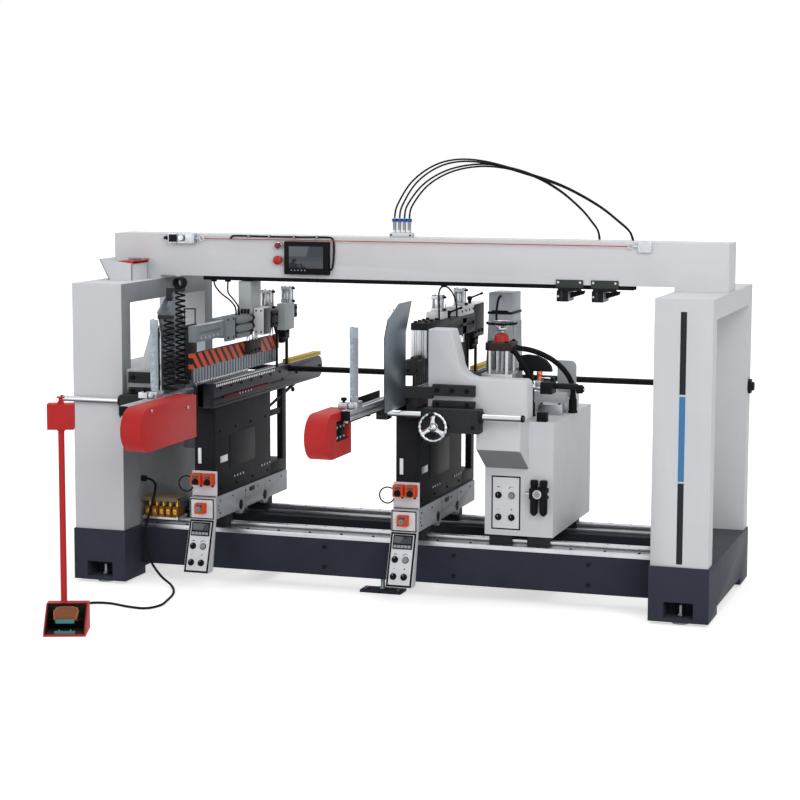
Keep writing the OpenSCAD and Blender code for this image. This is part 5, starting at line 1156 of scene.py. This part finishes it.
def press_cylinder(piece, x, y, low, high):
    """Square-capped air cylinder with four tie rods and two elbow fittings."""
    cap, half, tie = 14, 25, 19
    piece.blocks(ALUMINIUM, (x - half, y - half, low, 2 * half, 2 * half, cap),
                 (x - half, y - half, high - cap, 2 * half, 2 * half, cap))
    piece.turned((x, y, low + cap), Z, [(0, 22), (high - low - 2 * cap, 22)], STEEL, 32)
    for dx in (-tie, tie):
        piece.row((x + dx, y - tie, high), Y * 2 * tie, 2, Z, 4.4, 3)
        for dy in (-tie, tie):
            piece.rod((x + dx, y + dy, low + cap), (x + dx, y + dy, high - cap), 4.2, ALUMINIUM, 12)
    for z in (low + cap / 2, high - cap / 2):
        piece.turned((x + half, y, z), X, [(0, 6), (7, 6), (8, 5), (13, 5)], BLACK_PLASTIC, 12)


def clamp_lever(piece, x, y, low):
    piece.turned((x, y, low), Z, [(0, 8), (12, 8), (20, 12), (30, 12), (34, 8)], BLACK_PLASTIC, 18)
    piece.turned((x, y, low + 24), (62, 0, 26), [(0, 5), (20, 4.2), (56, 4.2), (60, 6), (67, 6), (70, 3)],
                 BLACK_PLASTIC, 14)


def left_arm_top(piece, x):
    """Valve box, adjusters, cylinders and blocks on the arm of the left unit."""
    mid, side, top = x + ARM_MID, x + 69, ARM_TOP
    piece.blocks(BOX_GREY, (mid - 30, 464, top, 60, 126, 146), (mid - 27, 462.8, top + 8, 54, 2, 128),
                 (side, 781, 1100, 40, 123, 125), (side + 40, 796, 1112, 1.6, 92, 100))
    piece.two_rows((mid - 22, 462.8, top + 14), X * 44, 2, Z * 116, -Y, 3.4, 2, STEEL)
    piece.row((mid - 20, 440, top), X * 16, 4, Z, 6, 22)
    press_cylinder(piece, mid, 749, top, 1290)
    press_cylinder(piece, side + 16, 876, 1225, 1300)
    piece.blocks(PANEL_FACE, (side, 489, 1103, 48, 86, 124))
    piece.blocks(DARK_ALLOY, (side + 47, 492, 1106, 2.4, 80, 118))
    piece.two_rows((side + 12, 489, 1116), X * 24, 2, Z * 98, -Y, 4, 2.4)
    piece.blocks(BLACK_PAINT, (side, 640, 1124, 30, 82, 76))
    piece.two_rows((side + 30, 656, 1140), Y * 46, 2, Z * 42, X, 6, 5)
    piece.blocks(IRON_BLACK, (side - 6, 904, 1150, 40, 52, 62))
    piece.two_rows((side + 34, 916, 1164), Y * 26, 2, Z * 32, X, 6, 5)
    piece.blocks(ARM_GREY, (side - 2, 140, 1102, 14, 98, 112), (side - 1, 268, 1104, 12, 150, 22))
    piece.two_rows((side + 12, 156, 1118), Y * 62, 2, Z * 80, X, 5, 3)
    for z, r in ((1184, 17), (1147, 19)):
        piece.turned((side + 3, 262, z), Y,
                     [(0, 7), (12, r - 3), (50, r), (120, r), (168, r - 3), (190, 8)], ARM_GREY, 28)
        piece.turned((side + 3, 452, z), Y, [(0, 12), (16, 12), (18, 9)], BLACK_PLASTIC, 18)
    piece.blocks(BLACK_PLASTIC, (side - 2, 250, 1106, 8, 214, 92))
    piece.blocks(ALUMINIUM, (side - 2, -150, 1195, 6, 280, 6))
    piece.row((side, -120, 1140), Y * 46, 5, X, 5, 3, STEEL)


def middle_arm_top(piece, x):
    """Cap plate, cylinder feet, cylinders, levers and end block on the arm of the middle unit."""
    mid, top = x + ARM_MID, ARM_TOP
    piece.blocks(BLACK_PAINT, (x - 2, 127, 1182, 73, 330, 30), (x + 6, 880, 1085, 58, 168, 152))
    for dx, first, pitch, count in ((12, 150, 58, 5), (56, 166, 74, 4)):
        piece.row((x + dx, first, top + 9), Y * pitch, count, Z, 8, 8)
    piece.blocks(ALUMINIUM, (x - 1, 130, 1061, 70, 8, 121))
    piece.blocks(STRIPE_DARK, *((x - 1 + dx, 129.3, 1062, 2, 1.4, 119) for dx in (14, 22, 46, 54)))
    piece.blocks(PANEL_FACE, (x - 1, 345, top + 9, 70, 96, 31), (x - 1, 640, top, 70, 220, 41))
    press_cylinder(piece, mid, 409, top + 40, 1312)
    press_cylinder(piece, mid, 751, top + 41, 1321)
    piece.row((x + 69, 664, top + 20), Y * 60, 4, X, 5, 4)
    piece.blocks(STEEL, (x + 8, 884, 1237, 54, 160, 6))
    piece.row((x + 64, 904, 1110), Y * 58, 3, X, 8, 6)
    clamp_lever(piece, x + 47, 527, top)
    clamp_lever(piece, x + 40, 887, 1243)


def detail_arm(unit, x):
    piece = Piece(unit + "_arm_details", "unit_" + unit)
    mid, low = x + ARM_MID, BEAM_Z - 22
    (left_arm_top if unit == "a" else middle_arm_top)(piece, x)
    piece.blocks(BLACK_PAINT, (x + 8, 880, 1046, 51, 90, 8), (x + 48, 937, 921, 11, 15, 127))
    piece.rod((x + 52, 819, 921), (x + 52, 819, 1117), 6, BLACK_PAINT, 16)
    piece.turned((mid, 925, 1046), -Z, [(0, 24), (12, 22), (20, 14), (22, 6)], BLACK_PAINT)
    piece.row((x + 59, 900, 1080), Y * 44, 2, X, 8, 7)
    ends = (-171, -101) if unit == "a" else (-4,)
    piece.blocks(BLACK_PLASTIC, (mid + ends[0] - 22, 488, low + 6, ends[-1] - ends[0] + 44, 44, 9),
                 *((mid + dx - 12, 502, low - 9, 24, 16, 15) for dx in ends))
    piece.done(bevel=1.0)
    holder = Piece(unit + "_press_details", unit + "_press")
    if unit == "a":
        holder.blocks(IRON_BLACK, (mid + 11, 436, 1016, 26, 138, 60))
        for y in (502, 540):
            holder.rod((mid + 26, y, 1074), (mid + 26, y, 1100), 7, CHROME, 18)
        holder.row((mid + 37, 452, 1032), Y * 50, 3, X, 6, 4)
    else:
        holder.blocks(IRON_BLACK, (mid - 43, 60, 1000, 74, 66, 58))
        holder.row((mid - 26, 60, 1014), X * 40, 2, -Y, 6, 4)
    holder.done(bevel=1.0)


def detail_table(unit, x):
    piece = Piece(unit + "_table_details", "unit_" + unit)
    flank = x + 59
    piece.blocks(BLACK_PAINT, (flank, 60, 822, 2, 812, 5))
    piece.row((flank, 120, 895), Y * 120, 7, X, 6, 4)
    piece.row((flank, 1060, 870), Y * 110, 4, X, 7, 5)
    piece.blocks(ALUMINIUM, (x + 12, 985, 921, 44, 436, 3))
    piece.row((x - 14, 140, 903), Y * SPINDLE_PITCH, 17, Z, 3.4, 12, STEEL, 0.4, 10)
    piece.row((x + 52, 72, 919), Y * 21, 34, Z, 7, 3.8, CHROME, 0.6, 12)
    piece.row((x + 58.6, 72, 911), Y * 21, 34, X, 6.4, 2.4, CHROME, 0.6, 12)
    piece.blocks(STEEL, (x + 46.4, 60, 920.6, 12, 730, 2))
    piece.blocks(DULL_RED, (flank, 150, 845, 3, 560, 11))
    piece.row((x + 62, 330, 850), Y * 34, 5, X, 4, 3, STEEL)
    piece.done(bevel=0.8)


# Side unit
def detail_cabinet():
    panel = Piece("c_panel", "unit_c", Matrix.Translation((460, 187, 322)) @ UPRIGHT_PANEL)
    panel_face(panel, 133, 238, 8)
    selector_field(panel, (33, 92), (152, 56), (178, 72))
    panel.done(bevel=0.5)
    air = Piece("c_regulator_details", "unit_c")
    for x in (657, 699):
        air.turned((x, 164, 516), Z, [(0, 15), (12, 15), (14, 17), (32, 17), (35, 14)], BLACK_PLASTIC, 20)
        air.turned((x, 164, 408), -Z, [(0, 15), (6, 12), (12, 6)], BLACK_PLASTIC, 18)
    air.turned((678, 141, 494), -Y, [(0, 19), (12, 19), (13, 16)], STEEL, 28)
    air.turned((678, 129, 494), -Y, [(0, 15.5), (1.6, 15.5)], KEY_GREY, 28)
    air.blocks(RED_PAINT, (677, 126.6, 488, 1.6, 1.2, 15))
    air.turned((640, 164, 493), -X, [(0, 9), (10, 9), (11, 7), (22, 7)], STEEL, 6)
    air.turned((716, 164, 493), X, [(0, 9), (8, 9), (9, 7)], STEEL, 6)
    air.done(bevel=0.8)


def detail_cabinet_top():
    """Glands of the conduits, pale shield, black bracket and plates on the cabinet."""
    piece = Piece("c_top_details", "unit_c")
    for x, y, _ in (OUTER_CONDUIT[-1], INNER_CONDUIT[-1]):
        piece.turned((x, y, 798), Z, [(0, 22), (9, 22), (10, 19), (60, 18), (62, 15), (80, 13.4)],
                     BLACK_PLASTIC, 20)
    for x, y, z in (OUTER_CONDUIT[0], INNER_CONDUIT[0]):
        piece.turned((x - 10, y, z), X, [(0, 15), (14, 15), (15, 12.5), (22, 12.5)], BLACK_PLASTIC, 18)
    quarter = [math.pi / 2 * k / 8 for k in range(9)]
    shield = [(706 + 26 * math.cos(a), 998 + 26 * math.sin(a)) for a in quarter]
    piece.prism([(646, 860), (732, 860)] + shield + [(646, 1024)], "y", 598, 606, BOX_GREY)
    piece.blocks(BOX_GREY, (676, 606, 860, 26, 12, 120))
    piece.prism([(520, 1058), (556, 1064), (600, 1060), (640, 1042), (662, 1016), (668, 992), (520, 992)],
                "y", 402, 432, BLACK_PAINT)
    piece.blocks(LIGHT_PAINT, (548, 566, 798, 150, 240, 86))
    piece.blocks(BLACK_PAINT, (548, 408, 798, 34, 18, 196))
    piece.blocks(ALUMINIUM, (600, 440, 798, 104, 96, 46), (404, 212, 798, 138, 176, 14))
    piece.row((612, 452, 844), X * 80, 2, Z, 6, 5)
    piece.blocks(BLACK_PLASTIC, (655, 200, 798, 44, 34, 40))
    piece.done(bevel=2.0)


MOTOR_LEAD = [(392, 541, 1166), (392, 516, 1172), (391, 500, 1196), (391, 497, 1235), (394, 500, 1275),
              (396, 518, 1300), (396, 546, 1308)]


def detail_side_head():
    piece = Piece("c_head_details", "c_head")
    piece.blocks(BLACK_PAINT, (656, 250, 912, 51, 86, 50), (690, 294, 940, 16, 22, 42))
    piece.turned((707, WHEEL_Y, 944), X, [(0, 13), (104, 13)], BLACK_PAINT)
    piece.turned((806, WHEEL_Y, 934), X, [(0, 19), (24, 19), (27, 16), (28, 12), (33, 12)],
                 BLACK_PLASTIC, 28)
    piece.turned((833, WHEEL_Y, 934), X, [(0, 9), (7, 9), (8, 7)], CHROME)
    piece.rod((640, 306, 974), (700, 306, 974), 6, CHROME, 18)
    piece.blocks(ALUMINIUM, (630, 262, 946, 26, 52, 22))
    piece.turned((646, 280, 968), Z, [(0, 11), (9, 11), (10, 9), (20, 9), (24, 13), (36, 13), (39, 8)],
                 COPPER, 20)
    piece.tube(MOTOR_LEAD, 5.0, RUBBER)
    piece.blocks(BLACK_PLASTIC, (337, 541.5, 1226, 114, 167, 11), (356, 544, 1237, 76, 162, 6))
    motor_ribs(piece, 451.5, 1000, 4, 190)
    piece.blocks(GREY_MOTOR, (357, 540, 1040, 70, 6, 90))
    piece.two_rows((365, 540, 1048), X * 54, 2, Z * 74, -Y, 4, 3, STEEL)
    piece.done(bevel=1.5)
    chuck_rows("c_head", 344.8, -1)


def detail_side_bracket():
    piece = Piece("c_bracket_details", "unit_c")
    piece.row((268, 12, 941), X * 66, 3, -Y, 10, 9)
    piece.row((268, 12, 882), X * 132, 2, -Y, 8.5, 8)
    piece.row((330, -38, 792), X * 110, 2, -Y, 8, 7)
    bar_collars(piece, 463, 219)
    piece.turned((267, -38, 788), -Y, [(0, 20), (4, 20), (5, 17)], STEEL, 28)
    piece.row((119, -190, 1290), Y * 50, 4, X, 4.5, 3, STEEL)
    piece.done(bevel=0.8)


def detail_fences():
    for body, cap_x, ahead, end_x, front in (("c_fence", 657, 1, 12, -500),
                                             ("left_fence", -1496, -1, -904, -655)):
        piece = Piece(body + "_details", body)
        piece.turned((cap_x - ahead * 12, BAR_Y, BAR_Z), X * ahead, [(0, 15), (10, 15), (13, 12)],
                     BLACK_PLASTIC, 28)
        piece.row((end_x + 12, -45, 838), X * 26, 2, -Y, 6, 5)
        piece.blocks(BLACK_PLASTIC, (end_x + 5, front - 3, FENCE_Z, 40, 3, 40))
        piece.blocks(BLACK_PAINT, *((end_x + 8, y, FENCE_Z - 11.5, 34, 22, 11) for y in (-120, -260)))
        piece.done(bevel=0.8)
    strip = Piece("c_fence_strip", "c_fence")
    strip.blocks(BLACK_PLASTIC, (-3, -273, 880, 6, 308, 47))
    strip.blocks(BLACK_PAINT, *((3, y, 884, 15, 22, 12) for y in (-240, -70)))
    strip.done(bevel=1.2)
    guard = Piece("guard_details", "left_fence")
    guard.row((-766, -628, 884), (0, 364, -28), 2, X, 7, 4, STEEL)
    guard.done(bevel=0.5)
    block = Piece("c_guard_details", "c_fence")
    block.two_rows((9, -536, 796), Y * 40, 3, Z * 42, X, 6, 5, STEEL)
    block.turned((9, -496, 818), X, [(0, 14), (8, 14), (10, 11)], BLACK_PLASTIC, 20)
    block.done(bevel=0.5)
    for node, x, y in (("left_upright", -879, -352), ("c_upright", 37, -400)):
        piece = Piece(node + "_details", node)
        piece.blocks(ALUMINIUM, (x - 58, y - 36, 903.4, 40, 42, 24))
        piece.turned((x - 38, y - 15, 927), Z, [(0, 6), (6, 6), (8, 13), (18, 13), (20, 10)],
                     BLACK_PLASTIC, 8)
        piece.row((x - 8, y, 950), X * 20, 2, -Y, 4, 3, STEEL)
        piece.blocks(ZINC_SHEET, (x - 18.6, y - 1.4, 1190, 37.2, 2.4, 44.6))
        piece.done(bevel=0.5)


GRIP_R, GRIP_WIRE, GRIP_WAVE, GRIP_WAVES, GRIP_STEPS = 58, 6.6, 0.9, 18, 108


def make_handwheel():
    """Chrome handwheel with a wavy grip, three broad spokes, a hub and a crank handle."""
    centre = Vector((267, -48, 788))
    piece = Piece("handwheel", "c_handwheel")
    loops = []
    for k, out in enumerate(circle(Vector(), X, Z, 1.0, GRIP_STEPS)):
        wire = GRIP_WIRE + GRIP_WAVE * math.cos(GRIP_WAVES * 2 * math.pi * k / GRIP_STEPS)
        loops.append(piece.points(circle(centre + out * GRIP_R, out, -Y, wire, 14)))
    piece.skin(loops, CHROME, closed=True)
    for k in range(3):
        piece.place = Matrix.Translation(centre) @ Matrix.Rotation(math.radians(30 + 120 * k), 4, "Y")
        piece.prism([(10, -11), (34, -8), (54, -13), (54, 13), (34, 8), (10, 11)], "y", -4, 4, CHROME)
    piece.place = Matrix.Translation(centre)
    piece.turned((0, 10, 0), -Y, [(0, 9), (0.5, 18), (18, 18), (22, 15), (24, 9), (26, 9), (27, 7)],
                 CHROME, 36)
    piece.turned((0, 40, 0), -Y, [(0, 8), (30, 8)], STEEL)
    piece.turned((0, -4, GRIP_R), -Y, [(0, 5), (6, 5), (8, 8), (24, 9), (38, 8), (42, 4)],
                 BLACK_PLASTIC, 20)
    piece.done(bevel=1.2, replaces=["c_handwheel"], segments=3)


# Foot switch, in a place of its own: its front left corner on the floor, turned a little
SWITCH = Matrix.Translation((-1071, -1025, 0)) @ Matrix.Rotation(math.radians(20), 4, "Z")
HOOD_W, HOOD_DEPTH, HOOD_SHEET = 170, 119, 5
TREADLE_OUTLINE = [(46, 0), (51, 48), (40, 68), (24, 75)]
PAD_OUTLINE = [(43, 0), (47.5, 47), (37, 65), (22, 71)]


def mirrored(half):
    """A closed outline from its right half, given from the front to the back."""
    return half + [(-u, v) for u, v in reversed(half)]


def make_foot_switch():
    dressed("pedal_base", RED_PAINT, bevel=2.5, segments=3,
            cut=(SWITCH @ Vector((0, HOOD_DEPTH, 0)), SWITCH.to_3x3() @ -Y))
    base = Piece("pedal_details", "frame", SWITCH)
    for x, lining_x in ((0, HOOD_SHEET), (HOOD_W - HOOD_SHEET, 160)):
        base.prism([(0, 0), (0, 12), (14, 30), (108, 112), (120, 112), (120, 0)], "x", x, x + HOOD_SHEET,
                   RED_PAINT)
        base.prism([(4, 6), (4, 11), (16, 28), (108, 108), (119, 108), (119, 6)], "x", lining_x,
                   lining_x + 4, LINING)
    base.blocks(LINING, (4, 4, 0, 162, 116, 8), (4, 117.6, 6, 162, 3, 101))
    base.blocks(TEAL, (44, 9, 8, 82, 14, 12))
    for x in (62, 108):
        base.turned((x, 27, 8), Z, [(0, 4), (15, 4), (16, 2.6)], ZINC, 12)
    base.row((8, 2.6, 4), X * 154, 2, -Y, 3.4, 2.6, ZINC)
    base.blocks(RED_PAINT, (0, 0, 0, HOOD_W, HOOD_SHEET, 9), (14.8, 113.8, 827, 106.4, 60.4, 105),
                (56, 126, 932, 24, 30, 8), (60, 134, 940, 16, 14, 16), (52, 132, 954, 32, 18, 6))
    base.turned((68, 144, 820), Z, [(0, 17), (7, 17), (8, 15)], RED_PAINT)
    base.done(bevel=1.5)
    tread = Piece("treadle_pad", "pedal_treadle", SWITCH)
    for x in (40, 124):
        tread.prism([(28, 62), (36, 58), (98, 39), (108, 40), (111, 48), (108, 96), (98, 100), (32, 70)],
                    "x", x, x + 6, TREADLE)
    tread.blocks(TEAL, (47, 20, 50, 76, 12, 16))
    tread.prism([(26, 58), (38, 58), (38, 74), (30, 71)], "x", 46, 124, TREADLE)
    tread.place = SWITCH @ Matrix.Translation((85, 30, 70)) @ Matrix.Rotation(math.radians(26), 4, "X")
    tread.prism(mirrored(TREADLE_OUTLINE), "z", -5, 2, TREADLE_RIM)
    tread.prism(mirrored(PAD_OUTLINE), "z", 0, 4, TREADLE)
    tread.place = SWITCH
    tread.rod((0.5, 105, 46), (169.5, 105, 46), 5, LINING)
    tread.done(bevel=1.5, replaces=["pedal_treadle"])


detail_frame()
make_hopper()
make_parked_clamps()
detail_left_unit()
for letter in "ab":
    for detail in (detail_console, detail_pedestal, detail_arm, detail_table):
        detail(letter, middle_of(letter + "_carriage").x)
detail_cabinet()
detail_cabinet_top()
detail_side_head()
detail_side_bracket()
detail_fences()
make_handwheel()
make_foot_switch()


# Plain studio: pale floor, soft lamps, white surroundings. Lengths here are metres
FLOOR_REACH, FLOOR_LIFT, FADE_FROM, FADE_TO = 40.0, 0.62, 1.6, 5.0
WORLD_LIGHT = 0.3
LAMPS = (("key", (4.2, -5.5, 4.6), (0, 0, 0.7), 4.0, 180.0),
         ("fill", (-4.5, -5.5, 3.4), (0, 0, 0.8), 4.5, 95.0),
         ("top", (0.0, 1.5, 5.5), (0, 0.3, 0.5), 5.0, 105.0))


def seen_directly(tree):
    """One for rays from the camera or off a mirror, and zero for the light that falls on things."""
    path = add(tree, "LightPath").outputs
    return sums(tree, "MAXIMUM", path["Is Camera Ray"], path["Is Glossy Ray"])


def make_floor():
    """A matt floor that glows where it is looked at, and more so far from the machine."""
    mesh = bpy.data.meshes.new("floor")
    r = FLOOR_REACH
    mesh.from_pydata([(-r, -r, 0), (r, -r, 0), (r, r, 0), (-r, r, 0)], [], [(0, 1, 2, 3)])
    floor = bpy.data.objects.new("floor", mesh)
    bpy.context.scene.collection.objects.link(floor)
    material = bpy.data.materials.new("floor_pale")
    material.use_nodes = True
    tree = material.node_tree
    shader = tree.nodes["Principled BSDF"].inputs
    shader["Base Color"].default_value = (0.9, 0.9, 0.9, 1)
    shader["Roughness"].default_value = 0.9
    shader["Specular IOR Level"].default_value = 0.0
    shader["Emission Color"].default_value = (1, 1, 1, 1)
    away = add(tree, "VectorMath", {0: add(tree, "TexCoord").outputs["Object"]},
               operation="LENGTH").outputs["Value"]
    paler = ranged(tree, away, FADE_FROM, FADE_TO, FLOOR_LIFT, 1.0)
    tree.links.new(sums(tree, "MULTIPLY", seen_directly(tree), paler), shader["Emission Strength"])
    mesh.materials.append(material)


def make_surroundings():
    """White where it is seen, and a weak even light on everything."""
    world = bpy.data.worlds.new("studio")
    world.use_nodes = True
    bpy.context.scene.world = world
    tree = world.node_tree
    through = add(tree, "LightPath").outputs["Is Transmission Ray"]
    shown = sums(tree, "MAXIMUM", seen_directly(tree), through)
    background = tree.nodes["Background"].inputs
    background["Color"].default_value = (1, 1, 1, 1)
    tree.links.new(ranged(tree, shown, 0.0, 1.0, WORLD_LIGHT, 1.0), background["Strength"])


def make_lamps():
    for name, place, target, size, power in LAMPS:
        data = bpy.data.lights.new(name, "AREA")
        data.size, data.energy = size, power
        lamp = bpy.data.objects.new(name, data)
        lamp.location = place
        lamp.rotation_mode = "QUATERNION"
        lamp.rotation_quaternion = (Vector(target) - Vector(place)).to_track_quat("-Z", "Y")
        bpy.context.scene.collection.objects.link(lamp)


make_floor()
make_surroundings()
make_lamps()
bpy.context.scene.view_settings.view_transform = "Standard"
